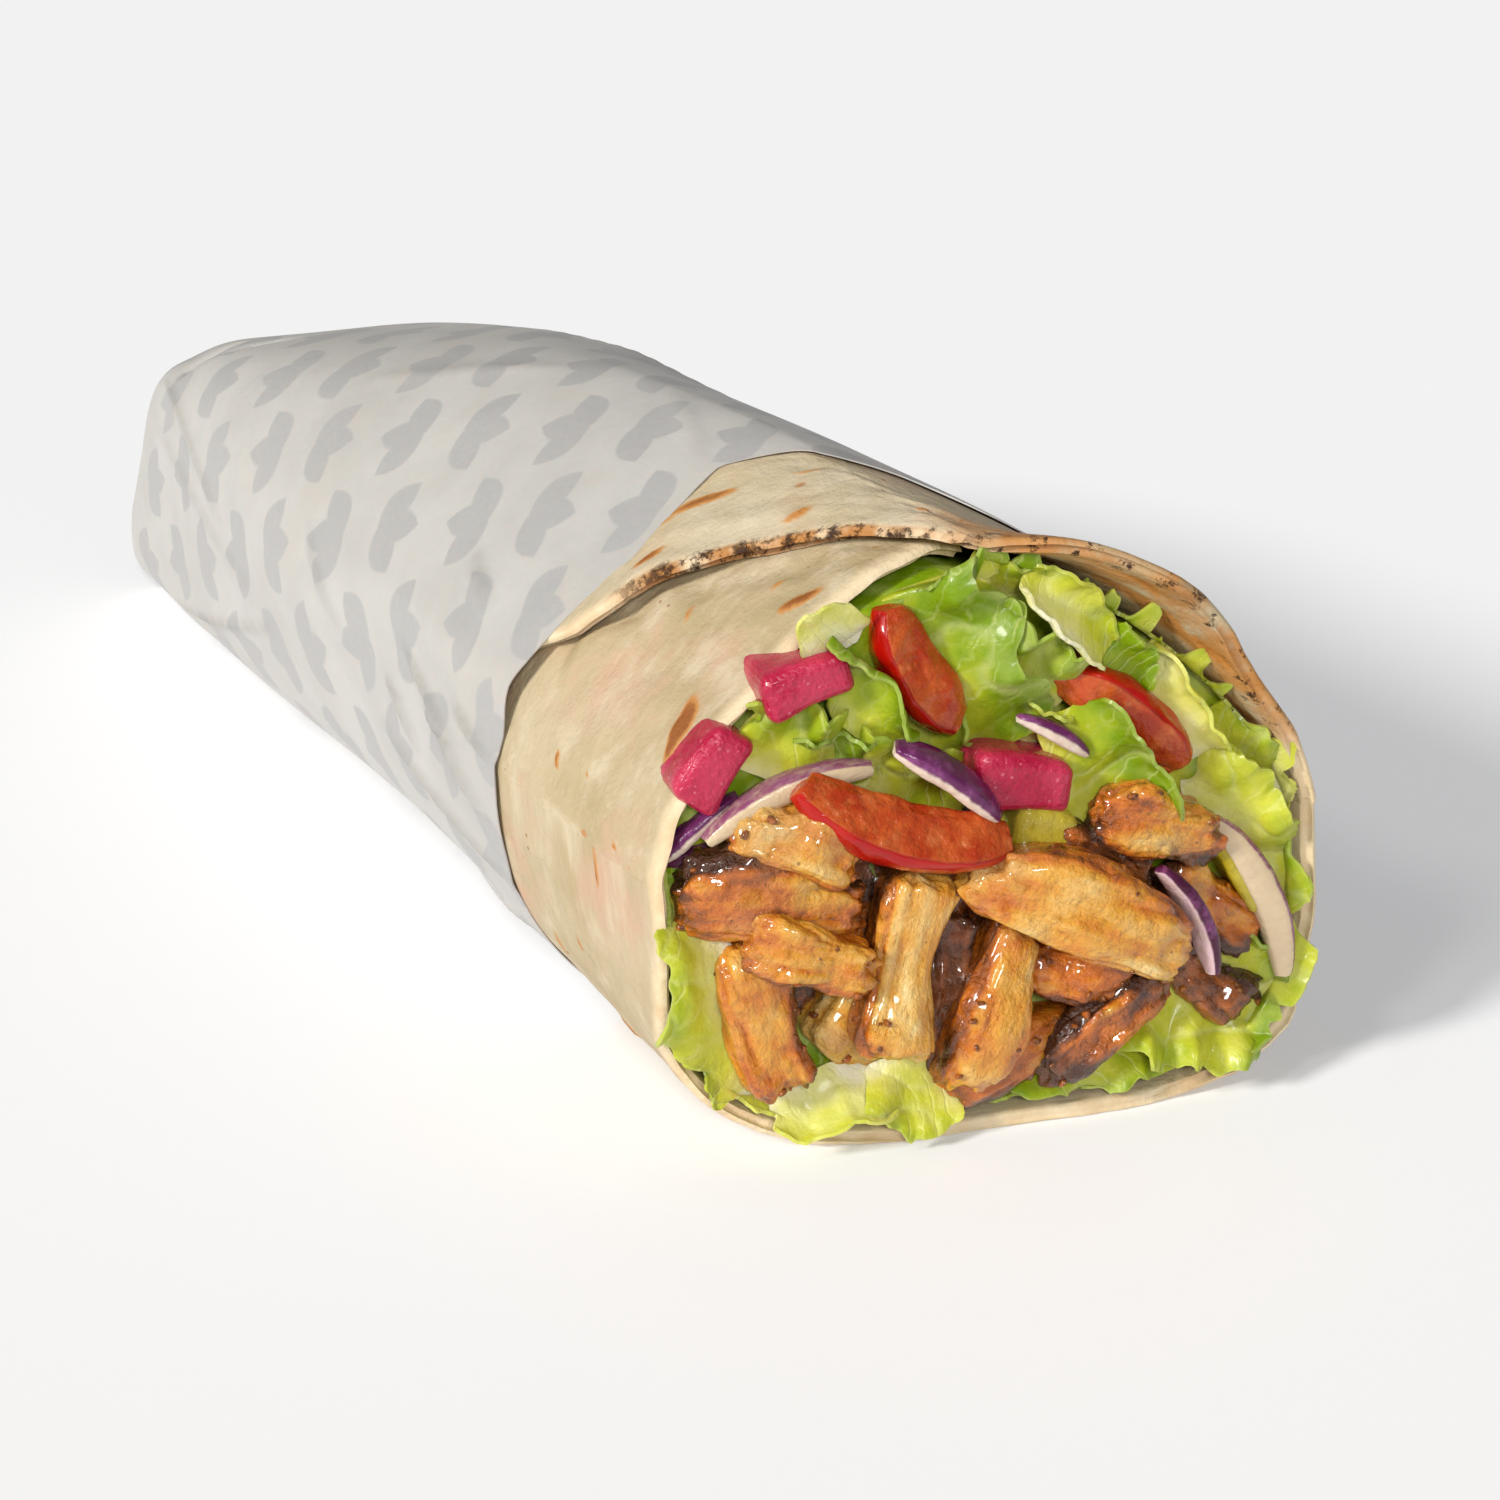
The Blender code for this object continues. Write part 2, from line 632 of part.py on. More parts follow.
def build():
    remove_all_objects()
    roll = new_collection("meat wrap")
    bread_finish = material("flatbread", (0.72, 0.56, 0.36), 0.7)
    paper_finish = material("wrapping paper", (0.78, 0.76, 0.72), 0.6)
    chicken_finish = material("chicken", (0.45, 0.2, 0.06), 0.35)
    lettuce_finish = material("lettuce", (0.35, 0.5, 0.06), 0.4)
    tomato_finish = material("tomato", (0.6, 0.04, 0.01), 0.25)
    onion_finish = material("red onion", (0.55, 0.35, 0.42), 0.3)
    pickle_finishes = {
        "turnip": material("pickled turnip", (0.5, 0.01, 0.09), 0.3),
        "cucumber": material("pickled cucumber", (0.35, 0.3, 0.05), 0.3),
    }

    build_bread("flatbread", roll).data.materials.append(bread_finish)
    build_paper(roll, paper_finish)

    toppings = add_slices(TOMATOES, roll, 0.0, tomato_finish)
    toppings += add_slices(ONIONS, roll, 0.0, onion_finish)
    toppings += add_pickles(roll, 0.0, pickle_finishes)
    bed_cutters = topping_cutters()
    bread_cutter = new_collection("bread cutter")
    hide_cutter(build_bread("bread cutter", bread_cutter, GAP))
    cut_each_by_earlier(toppings, list(bed_cutters.objects), bread_cutter)

    strips = new_collection("chicken strips")
    add_strips(strips, 0.0)
    core = build_core("chicken core", roll, chicken_core_point(0.0), 0.976, 6 * MM)
    build_heap("chicken", roll, chicken_finish, core, strips, [bed_cutters, bread_cutter])

    leaves = new_collection("lettuce leaves")
    add_leaves(leaves)
    chicken_cutters = new_collection("chicken cutters")
    add_strips(chicken_cutters, GAP)
    build_core("chicken core cutter", chicken_cutters, chicken_core_point(GAP), 0.976, 6 * MM)
    for cutter in chicken_cutters.objects:
        hide_cutter(cutter)
    core = build_core("lettuce core", roll, inner_point, 0.985, 2 * MM)
    build_heap("lettuce", roll, lettuce_finish, core, leaves, [chicken_cutters, bed_cutters, bread_cutter])
    discard(chicken_cutters)
    discard(bed_cutters)
    discard(bread_cutter)


build()
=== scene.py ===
# %% [markdown]
# A meat wrap, half wrapped in food paper.
# The roll lies on its side. Its open mouth looks towards -Y and its folded tail towards +Y.
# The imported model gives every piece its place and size. This lesson gives each one its real surface:
# a soft toasted flatbread, waxed paper, wet chicken, crisp lettuce and cut vegetables.

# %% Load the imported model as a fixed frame
import math

import bpy
import numpy as np
from mathutils import Matrix, Vector


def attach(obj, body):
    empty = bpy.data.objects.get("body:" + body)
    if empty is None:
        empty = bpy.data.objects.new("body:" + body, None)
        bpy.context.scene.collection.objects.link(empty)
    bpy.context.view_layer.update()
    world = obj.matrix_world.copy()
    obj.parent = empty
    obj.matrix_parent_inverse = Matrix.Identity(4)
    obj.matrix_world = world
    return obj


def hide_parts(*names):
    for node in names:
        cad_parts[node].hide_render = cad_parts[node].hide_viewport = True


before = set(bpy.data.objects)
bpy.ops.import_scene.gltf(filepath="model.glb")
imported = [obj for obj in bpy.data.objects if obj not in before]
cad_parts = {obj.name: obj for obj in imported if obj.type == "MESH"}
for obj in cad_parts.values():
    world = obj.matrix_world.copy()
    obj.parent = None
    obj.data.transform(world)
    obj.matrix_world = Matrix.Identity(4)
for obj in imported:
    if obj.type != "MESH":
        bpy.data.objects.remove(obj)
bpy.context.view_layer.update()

MM = 0.001

# %% [markdown]
# The camera stands in front of the mouth and a little to its left, and looks down by 27 degrees.
# A long lens keeps the roll from looking stretched. Its place was found by fitting the roll's outline.
# The Standard view transform shows colours as they are, which suits food on a nearly white floor.

# %% Camera
CAMERA_PLACE = Vector((-0.2278, -0.3810, 0.2366))
CAMERA_AZIMUTH = math.radians(-34)
CAMERA_ELEVATION = math.radians(27)
CAMERA_LENS = 79.2

camera = bpy.data.objects.new("camera", bpy.data.cameras.new("camera"))
bpy.context.scene.collection.objects.link(camera)
camera.data.lens = CAMERA_LENS
camera.data.sensor_width = 36
camera.data.clip_start = 0.01
camera.location = CAMERA_PLACE
camera.rotation_euler = (math.pi / 2 - CAMERA_ELEVATION, 0, CAMERA_AZIMUTH)
bpy.context.scene.camera = camera
bpy.context.scene.view_settings.view_transform = "Standard"
print("camera", [round(value, 3) for value in camera.location])

# %% [markdown]
# The stage is a plain pale floor that glows a little. A strong low light on the left throws the long
# shadow to the right, and a weak higher one lights the top. A light beside the camera fills the mouth, and
# a dim white sky the rest. All lights are suns, because a near lamp would leave the far floor darker.

# %% Floor and lights
def srgb(text):
    """Linear colour with alpha from a hexadecimal one such as #E5D8BF."""
    values = [int(text[start:start + 2], 16) / 255 for start in (1, 3, 5)]
    linear = [value / 12.92 if value < 0.04045 else ((value + 0.055) / 1.055) ** 2.4 for value in values]
    return (*linear, 1)


def sun(name, towards, energy, width, text):
    """A distant light: where it comes from, its strength, its width in degrees and its colour."""
    light = bpy.data.lights.new(name, "SUN")
    light.energy = energy
    light.angle = math.radians(width)
    light.color = srgb(text)[:3]
    holder = bpy.data.objects.new(name, light)
    bpy.context.scene.collection.objects.link(holder)
    holder.rotation_euler = Vector(towards).to_track_quat("Z", "Y").to_euler()


FLOOR_SIZE = 6
FLOOR_DROP = 0.0002

bpy.ops.object.select_all(action="DESELECT")
bpy.ops.mesh.primitive_plane_add(size=FLOOR_SIZE, location=(0, 0, -FLOOR_DROP))
floor = bpy.context.object
floor.name = "floor"
floor_finish = bpy.data.materials.new("pale floor")
floor_finish.use_nodes = True
floor_shader = floor_finish.node_tree.nodes["Principled BSDF"]
floor_shader.inputs["Base Color"].default_value = srgb("#F5F6F9")
floor_shader.inputs["Roughness"].default_value = 0.9
floor_shader.inputs["Specular IOR Level"].default_value = 0.1
floor_shader.inputs["Emission Color"].default_value = (1, 1, 1, 1)
floor_shader.inputs["Emission Strength"].default_value = 0.085
floor.data.materials.append(floor_finish)

sun("low key", (-0.87, 0.0, 0.475), 2.60, 11, "#FFFCF6")
sun("high key", (-0.70, -0.15, 0.70), 0.36, 9, "#FFFCF6")
sun("front fill", (-0.40, -0.75, 0.53), 1.34, 12, "#FFFFFF")
sky = bpy.data.worlds.new("white sky")
sky.use_nodes = True
sky.node_tree.nodes["Background"].inputs["Color"].default_value = (1, 1, 1, 1)
sky.node_tree.nodes["Background"].inputs["Strength"].default_value = 0.19
bpy.context.scene.world = sky

# %% [markdown]
# The roll's outline is one formula. A station runs from 0 at the tail to 1 at the mouth, and an angle
# runs round the roll, with 90 degrees at the top and 180 at the left. Width and height swell towards
# the mouth, and the cross-section goes from nearly square at the tail to a rounded tent at the mouth.

# %% The roll's outline
ROLL_LENGTH = 190 * MM
TAIL_HALF = (22 * MM, 25.6 * MM)
MOUTH_HALF = (41.8 * MM, 38.8 * MM)
MOUTH_SWING = -0.342
MOUTH_LEAN = 0.167
TAIL_SWING = -0.47
TAIL_LEAN = -0.5
SUNK = 0.8 * MM
CENTRE = np.array((-0.3, -1.2, 0.0)) * MM


def power(value, exponent):
    return np.sign(value) * (np.abs(value) + 1e-9) ** exponent


def ease(value, low, high):
    t = np.clip((np.asarray(value, float) - low) / (high - low), 0, 1)
    return t * t * (3 - 2 * t)


def outline(station, degrees, out, floor_height):
    """Points of the roll's surface, moved out by a distance and kept above a height."""
    given = [np.asarray(item, float) for item in (station, degrees, out)]
    station, degrees, out = np.broadcast_arrays(*given)
    left = np.maximum(0, 1 - station)
    half_width = TAIL_HALF[0] + (MOUTH_HALF[0] - TAIL_HALF[0]) * (1 - left**1.9)
    half_height = TAIL_HALF[1] + (MOUTH_HALF[1] - TAIL_HALF[1]) * (1 - left**2.4)
    angle = np.radians(degrees)
    upper = 1.46 + 2.98 * left**4
    lower = 2.0 + 2.98 * left**4 + 1.86 * np.minimum(station, 1.0) ** 3
    squareness = np.where(np.sin(angle) < 0, lower, upper)
    x = power(np.cos(angle), 2 / squareness) * (half_width + out)
    rise = power(np.sin(angle), 2 / squareness) * (half_height + out)
    swing = MOUTH_SWING * station**2 + TAIL_SWING * left**3
    lean = MOUTH_LEAN * station**2 + TAIL_LEAN * left**3
    y = ROLL_LENGTH * (0.5 - station) + swing * x + lean * rise
    z = np.maximum(half_height + rise - SUNK, floor_height)
    return np.stack([x, y, z], -1) + CENTRE


BREAD_THICKNESS = 2.4 * MM
BREAD_PITCH = 3.2 * MM
BREAD_START = 81.0
BREAD_END = 513.0
PAPER_GAP = 0.35 * MM
PAPER_REACH = 0.5 * MM


def bread_step(degrees):
    """How far the bread's outer side stands out at this turn of the spiral."""
    return BREAD_PITCH * (np.asarray(degrees, float) - 270) / 360


def bread_rim(degrees):
    turns = (81, 180, 205, 250, 360, 400, 418, 436, 455, 463, 479, 491, 503, 513)
    rims = (0.97, 1.01, 0.97, 1.0, 1.0, 1.03, 1.05, 1.03, 1.0, 0.96, 0.888, 0.842, 0.802, 0.74)
    return np.interp(degrees, turns, rims)


def paper_edge(degrees):
    turns = (0, 45, 66, 73, 81, 89, 100, 108, 130, 156, 200, 240, 280, 320, 360)
    edges = (0.93, 0.925, 0.905, 0.862, 0.85, 0.833, 0.807, 0.785,
             0.805, 0.771, 0.763, 0.79, 0.84, 0.89, 0.93)
    return np.interp(np.asarray(degrees, float) % 360, turns, edges)


print("half widths at the tail, middle and mouth in mm:",
      [round(float(outline(s, 0, 0, 0)[0]) / MM, 1) for s in (0, 0.5, 1)])

# %% [markdown]
# Food is never smooth. One helper gives random relief: a lattice of random numbers, blended smoothly,
# at a size in metres. It is worked out for all points at once, so that fine meshes stay quick.

# %% Random relief
def lattice(cell, seed):
    """A repeatable random number from -1 to 1 for each whole-number cell."""
    mixed = cell[..., 0] * 374761393 + cell[..., 1] * 668265263
    mixed = mixed + cell[..., 2] * 1442695041 + seed * 97463477
    mixed = mixed & 0xFFFFFFFF
    mixed = ((mixed ^ (mixed >> 13)) * 1274126177) & 0xFFFFFFFF
    mixed = ((mixed ^ (mixed >> 16)) * 668265263) & 0xFFFFFFFF
    return ((mixed >> 8) & 0xFFFF) / 32767.5 - 1


def relief(points, size, seed, octaves=2):
    """Smooth random bumps from about -1 to 1, with features about size across."""
    total = 0.0
    for octave in range(octaves):
        where = points / (size / 2**octave) + 31.7 * seed
        cell = np.floor(where).astype(np.int64)
        part = where - cell
        part = part * part * (3 - 2 * part)
        value = 0.0
        for corner in range(8):
            step = np.array((corner & 1, corner >> 1 & 1, corner >> 2 & 1))
            weight = np.prod(np.where(step == 1, part, 1 - part), axis=-1)
            value = value + weight * lattice(cell + step, seed + 17 * octave)
        total = total + value / 2**octave
    return total / 1.4


def relief_along(value, seed, octaves=2):
    """Relief along one number, with features about 1 across."""
    return relief(np.stack([value, 0 * value, 0 * value], -1), 1.0, seed, octaves)


print("relief at one point:", round(float(relief(np.array([[0.01, 0.02, 0.03]]), 0.01, 1)[0]), 3))

# %% [markdown]
# Meshes are handled alike: a primitive is added with everything else deselected, its corners are moved
# by a formula, it gets its modifiers, and these are applied. Marks are numbers kept on the corners, such
# as how toasted the bread is there, and the materials read them.

# %% Mesh helpers
def corners_of(piece):
    flat = np.empty(len(piece.data.vertices) * 3)
    piece.data.vertices.foreach_get("co", flat)
    return flat.reshape(-1, 3)


def move_corners(piece, points):
    piece.data.vertices.foreach_set("co", np.asarray(points, float).ravel())
    piece.data.update()


def add_basic(operator, name, **sizes):
    """One of Blender's basic meshes, such as a cube, named and active."""
    bpy.ops.object.select_all(action="DESELECT")
    operator(**sizes)
    made = bpy.context.object
    made.name = made.data.name = name
    return made


def edit_all(operator, **settings):
    """Runs a mesh operator on all of the active piece."""
    bpy.ops.object.mode_set(mode="EDIT")
    bpy.ops.mesh.select_all(action="SELECT")
    operator(**settings)
    bpy.ops.object.mode_set(mode="OBJECT")


def apply_modifier(piece, kind, **settings):
    """Adds a modifier to the active piece and applies it."""
    modifier = piece.modifiers.new(kind.lower(), kind)
    for key, value in settings.items():
        setattr(modifier, key, value)
    bpy.ops.object.modifier_apply(modifier=modifier.name)


def add_grid(name, columns, rows):
    """A flat grid with u and v from 0 to 1 for each corner."""
    sheet = add_basic(
        bpy.ops.mesh.primitive_grid_add, name, x_subdivisions=columns, y_subdivisions=rows, size=1)
    flat = corners_of(sheet)
    return sheet, flat[:, 0] + 0.5, flat[:, 1] + 0.5


def add_ball(name, segments, rings):
    """A unit ball whose poles lie on its x axis."""
    ball = add_basic(
        bpy.ops.mesh.primitive_uv_sphere_add, name, segments=segments, ring_count=rings, radius=1)
    turned = corners_of(ball)[:, (2, 1, 0)] * (1, -1, 1)
    move_corners(ball, turned)
    return ball, turned


def mark(piece, name, values):
    """Keeps one number or one vector for each corner."""
    values = np.asarray(values, np.float32)
    kind, key = ("FLOAT", "value") if values.ndim == 1 else ("FLOAT_VECTOR", "vector")
    layer = piece.data.attributes.new(name, kind, "POINT")
    layer.data.foreach_set(key, values.ravel())


def lay_flat(piece, u, v):
    """A UV map from a u and a v for each corner."""
    corner = np.empty(len(piece.data.loops), np.int64)
    piece.data.loops.foreach_get("vertex_index", corner)
    uv = piece.data.uv_layers.active or piece.data.uv_layers.new(name="sheet")
    uv.name = "sheet"
    uv.data.foreach_set("uv", np.stack([u[corner], v[corner]], -1).ravel())


def make_active(piece):
    bpy.ops.object.select_all(action="DESELECT")
    piece.select_set(True)
    bpy.context.view_layer.objects.active = piece


def face_away(piece, inside):
    """Turns an open sheet's faces so that they look away from a point for each corner."""
    mesh = piece.data
    normals = np.empty(len(mesh.vertices) * 3)
    mesh.vertices.foreach_get("normal", normals)
    if np.sum(normals.reshape(-1, 3) * (corners_of(piece) - inside)) < 0:
        mesh.flip_normals()


def thicken(piece, thickness, offset=-1.0, group=""):
    """Gives a sheet its thickness, scaled by a vertex group where one is named."""
    make_active(piece)
    apply_modifier(piece, "SOLIDIFY", thickness=thickness, offset=offset, vertex_group=group)


def smooth(piece, degrees=50):
    make_active(piece)
    bpy.ops.object.shade_smooth_by_angle(angle=math.radians(degrees))


def weigh(piece, name, weights):
    """A vertex group from a weight for each corner, in steps of a twentieth."""
    group = piece.vertex_groups.new(name=name)
    steps = np.round(np.asarray(weights) * 20).astype(int)
    for step in np.unique(steps):
        group.add(np.nonzero(steps == step)[0].tolist(), step / 20, "REPLACE")


def join(pieces, name):
    """Joins several pieces into one object, which keeps their marks."""
    bpy.ops.object.select_all(action="DESELECT")
    for piece in pieces:
        piece.select_set(True)
    bpy.context.view_layer.objects.active = pieces[0]
    bpy.ops.object.join()
    pieces[0].name = pieces[0].data.name = name
    return pieces[0]


def put_in_place(piece, nodes, finish):
    """Clears old materials, gives the finish, attaches the piece to the root and hides the imported parts
    it stands for.
    """
    piece.data.materials.clear()
    piece.data.materials.append(finish)
    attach(piece, "root")
    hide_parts(*nodes)
    print(piece.name, "has", len(piece.data.polygons), "faces")


print("mesh helpers ready")

# %% [markdown]
# Materials are built from nodes by a few short helpers. Two effects are shared as node groups: mottling,
# which blends two colours by soft noise, and specks, which is a mask of small random spots.

# %% Material helpers
class Value:
    """A node's output, which can be added, subtracted and multiplied like a number."""

    def __init__(self, socket):
        self.socket = socket
        self.tree = socket.id_data

    def step(self, operation, other=0.0):
        made = add_node(self.tree, "ShaderNodeMath", {0: self, 1: other}, operation=operation)
        return Value(made.outputs[0])

    def __add__(self, other):
        return self.step("ADD", other)

    def __sub__(self, other):
        return self.step("SUBTRACT", other)

    def __mul__(self, other):
        return self.step("MULTIPLY", other)


def add_node(tree, kind, inputs=(), **settings):
    """A node with settings, and inputs that are values, colours in hexadecimal or other nodes' outputs."""
    made = tree.nodes.new(kind)
    for key, value in settings.items():
        setattr(made, key, value)
    for key, value in dict(inputs).items():
        if isinstance(value, Value):
            tree.links.new(value.socket, made.inputs[key])
        else:
            made.inputs[key].default_value = srgb(value) if isinstance(value, str) else value
    return made


class Finish:
    """A material under construction: its nodes, its shader and short ways to add to them."""

    def __init__(self, name, roughness, **sockets):
        self.material = bpy.data.materials.new(name)
        self.material.use_nodes = True
        self.tree = self.material.node_tree
        self.shader = self.tree.nodes["Principled BSDF"]
        self.shader.inputs["Roughness"].default_value = roughness
        for key, value in sockets.items():
            self.shader.inputs[key.replace("_", " ")].default_value = value
        self.place = Value(add_node(self.tree, "ShaderNodeTexCoord").outputs["Object"])

    def marked(self, name, output="Fac"):
        return Value(add_node(self.tree, "ShaderNodeAttribute", attribute_name=name).outputs[output])

    def sheet(self):
        return Value(add_node(self.tree, "ShaderNodeUVMap", uv_map="sheet").outputs[0])

    def to_shader(self, value, socket):
        self.tree.links.new(value.socket, self.shader.inputs[socket])

    def bump(self, *heights):
        """Chains one Bump node for each (height, distance in metres)."""
        chain = {}
        for height, distance in heights:
            inputs = {"Height": height, "Distance": distance, "Strength": 1.0, **chain}
            chain = {"Normal": Value(add_node(self.tree, "ShaderNodeBump", inputs).outputs[0])}
        self.to_shader(chain["Normal"], "Normal")


def between(value, low, high):
    """0 below low, 1 above high, and smooth between them."""
    inputs = {"Value": value, "From Min": low, "From Max": high}
    made = add_node(value.tree, "ShaderNodeMapRange", inputs, interpolation_type="SMOOTHSTEP")
    return Value(made.outputs[0])


def blend(amount, first, second):
    """Mixes two colours."""
    inputs = {0: amount, 6: first, 7: second}
    return Value(add_node(amount.tree, "ShaderNodeMix", inputs, data_type="RGBA").outputs[2])


def noise(place, scale, detail=3.0, roughness=0.55):
    inputs = {"Vector": place, "Scale": scale, "Detail": detail, "Roughness": roughness}
    return Value(add_node(place.tree, "ShaderNodeTexNoise", inputs).outputs[0])


def ramp(value, stops):
    """A colour for a value, from (position, colour) stops, the first and the last of them at the ends."""
    made = add_node(value.tree, "ShaderNodeValToRGB", {0: value})
    first, last = made.color_ramp.elements
    first.position, last.position = max(stops[0][0], 0.0), min(stops[-1][0], 1.0)
    first.color, last.color = srgb(stops[0][1]), srgb(stops[-1][1])
    for position, text in stops[1:-1]:
        made.color_ramp.elements.new(position).color = srgb(text)
    return Value(made.outputs[0])


def stretch(place, scale):
    return Value(add_node(place.tree, "ShaderNodeMapping", {"Vector": place, "Scale": scale}).outputs[0])


def new_group(name, output, **inputs):
    """A shader node group from named inputs and their defaults. Returns it, its inputs and its way out."""
    group = bpy.data.node_groups.new(name, "ShaderNodeTree")
    kinds = {float: "NodeSocketFloat", tuple: "NodeSocketColor", type(None): "NodeSocketVector"}
    for title, value in inputs.items():
        socket = group.interface.new_socket(title, in_out="INPUT", socket_type=kinds[type(value)])
        if value is not None:
            socket.default_value = value
    group.interface.new_socket(output[0], in_out="OUTPUT", socket_type=output[1])
    entry = group.nodes.new("NodeGroupInput")
    leave = group.nodes.new("NodeGroupOutput")
    given = {title: Value(entry.outputs[title]) for title in inputs}
    return group, given, lambda value: group.links.new(value.socket, leave.inputs[0])


def use_group(group, place, **inputs):
    return Value(add_node(place.tree, "ShaderNodeGroup", inputs, node_tree=group).outputs[0])


MOTTLING, given, result = new_group(
    "mottling", ("Colour", "NodeSocketColor"),
    Place=None, First=(1, 1, 1, 1), Second=(0, 0, 0, 1), Scale=60.0, Balance=0.5,
)
cloud = noise(given["Place"], given["Scale"], 4.0, 0.6)
cloud = between(cloud, given["Balance"] - 0.14, given["Balance"] + 0.14)
result(blend(cloud, given["First"], given["Second"]))

SPECKS, given, result = new_group(
    "specks", ("Mask", "NodeSocketFloat"),
    Place=None, Scale=300.0, Size=0.2, Share=0.3,
)
cells = add_node(SPECKS, "ShaderNodeTexVoronoi", {"Vector": given["Place"], "Scale": given["Scale"]})
chosen = add_node(SPECKS, "ShaderNodeSeparateColor", {0: Value(cells.outputs["Color"])})
chosen = Value(chosen.outputs[0]).step("LESS_THAN", given["Share"])
near = given["Size"] - Value(cells.outputs["Distance"])
result(between(near, 0.0, 0.08) * chosen)


def mottle(place, first, second, scale, balance=0.5):
    return use_group(MOTTLING, place, Place=place, First=first, Second=second, Scale=scale, Balance=balance)


def speckle(place, scale, size, share):
    return use_group(SPECKS, place, Place=place, Scale=scale, Size=size, Share=share)


print("node groups:", [group.name for group in bpy.data.node_groups])

# %% [markdown]
# The flatbread is one soft sheet rolled up. It could be a plain tube, but then there would be no free
# edge over the mouth. So a grid is wound into a spiral of a turn and a fifth, its last part lying
# over its first, and Solidify gives it 2.4 mm. Most of the grid's rows are spent on the part that shows,
# and they crowd towards the rim, where the sheet thins out to a rounded edge.

# %% Flatbread sheet
BREAD_COLUMNS = 380
BREAD_ROWS = 104
HIDDEN_ROWS = 0.13
BREAD_TAIL = 0.045

bread, u, v = add_grid("flatbread_sheet", BREAD_COLUMNS, BREAD_ROWS)
turn = BREAD_START + (BREAD_END - BREAD_START) * u
rim = bread_rim(turn) + 0.006 * relief_along(turn / 25, 3, 3) + 0.0016 * relief_along(turn / 5, 4)
seen_from = rim - 0.31
station = np.where(
    v < HIDDEN_ROWS,
    BREAD_TAIL + (seen_from - BREAD_TAIL) * v / HIDDEN_ROWS,
    rim - (rim - seen_from) * (np.maximum(1 - v, 0) / (1 - HIDDEN_ROWS)) ** 1.4,
)
to_rim = (rim - station) * ROLL_LENGTH
edge = paper_edge(turn)
bare = ease(station, edge - 0.005, edge + 0.03)
lobe = ease(station, 0.96, 1.05) * ease(turn, 385, 415) * (1 - ease(turn, 425, 450))
flap = ease(turn, 470, 495) * (1 - ease(turn, 500, 512)) * ease(station, 0.78, 0.86)
flat_place = outline(station, turn, bread_step(turn), 0)

flap_rim = np.interp(turn + 360, (455, 463, 479, 491, 503, 513), (1.0, 0.96, 0.888, 0.842, 0.802, 0.74))
behind_flap = (station - flap_rim) * ROLL_LENGTH
puckered = np.exp(-np.maximum(behind_flap, 0) / (9 * MM)) * ease(behind_flap, -3 * MM, 0)
puckered = puckered * ease(turn, 98, 115) * (turn < 165)
seam_line = np.radians(turn) * 40 * MM - station * ROLL_LENGTH * 0.35
pucker = np.abs(np.sin(seam_line / (4.2 * MM) + 2.5 * relief(flat_place, 12 * MM, 8)))
seam_across = np.radians(turn) * 41 * MM * 0.76 + station * ROLL_LENGTH * 0.65
seam_along = station * ROLL_LENGTH * 0.76 - np.radians(turn) * 41 * MM * 0.65
wrinkle = relief(np.stack([seam_across / (4.6 * MM), seam_along / (24 * MM), turn * 0], -1), 1.0, 14)
near_seam = ease(turn, 425, 450) + ease(turn, 92, 108) * (1 - ease(turn, 140, 175))
swell = (
    0.50 * relief(flat_place, 17 * MM, 4)
    + 0.24 * relief(flat_place, 7 * MM, 5)
    + 0.09 * relief(flat_place, 2.6 * MM, 6)
    + 0.85 * near_seam * wrinkle
) * (0.2 + 0.8 * bare)
curl = 0.7 * flap * ease(to_rim, 9 * MM, 0) * (1 + 0.8 * relief(flat_place, 14 * MM, 9))
thinner = 0.26 + 0.14 * relief_along(turn / 14, 15)
fullness = 1 - thinner * (1 - ease(to_rim, 0, 6 * MM)) * (1 - 0.5 * ease(turn, 450, 470))
rounded = np.sqrt(np.clip(1 - (1 - np.clip(to_rim / (1.0 * MM), 0, 1)) ** 2, 0.02, 1))
out = bread_step(turn) + 4.5 * MM * lobe + 0.9 * MM * flap + MM * (swell + curl + 0.95 * puckered * pucker)
out = out - BREAD_THICKNESS / 2 * fullness * (1 - rounded)
under_paper = 1 - ease(station, edge + 0.01, edge + 0.07)
move_corners(bread, outline(station, turn, out, (PAPER_REACH + PAPER_GAP) * under_paper))
print("bread columns", BREAD_COLUMNS, "rows", BREAD_ROWS)
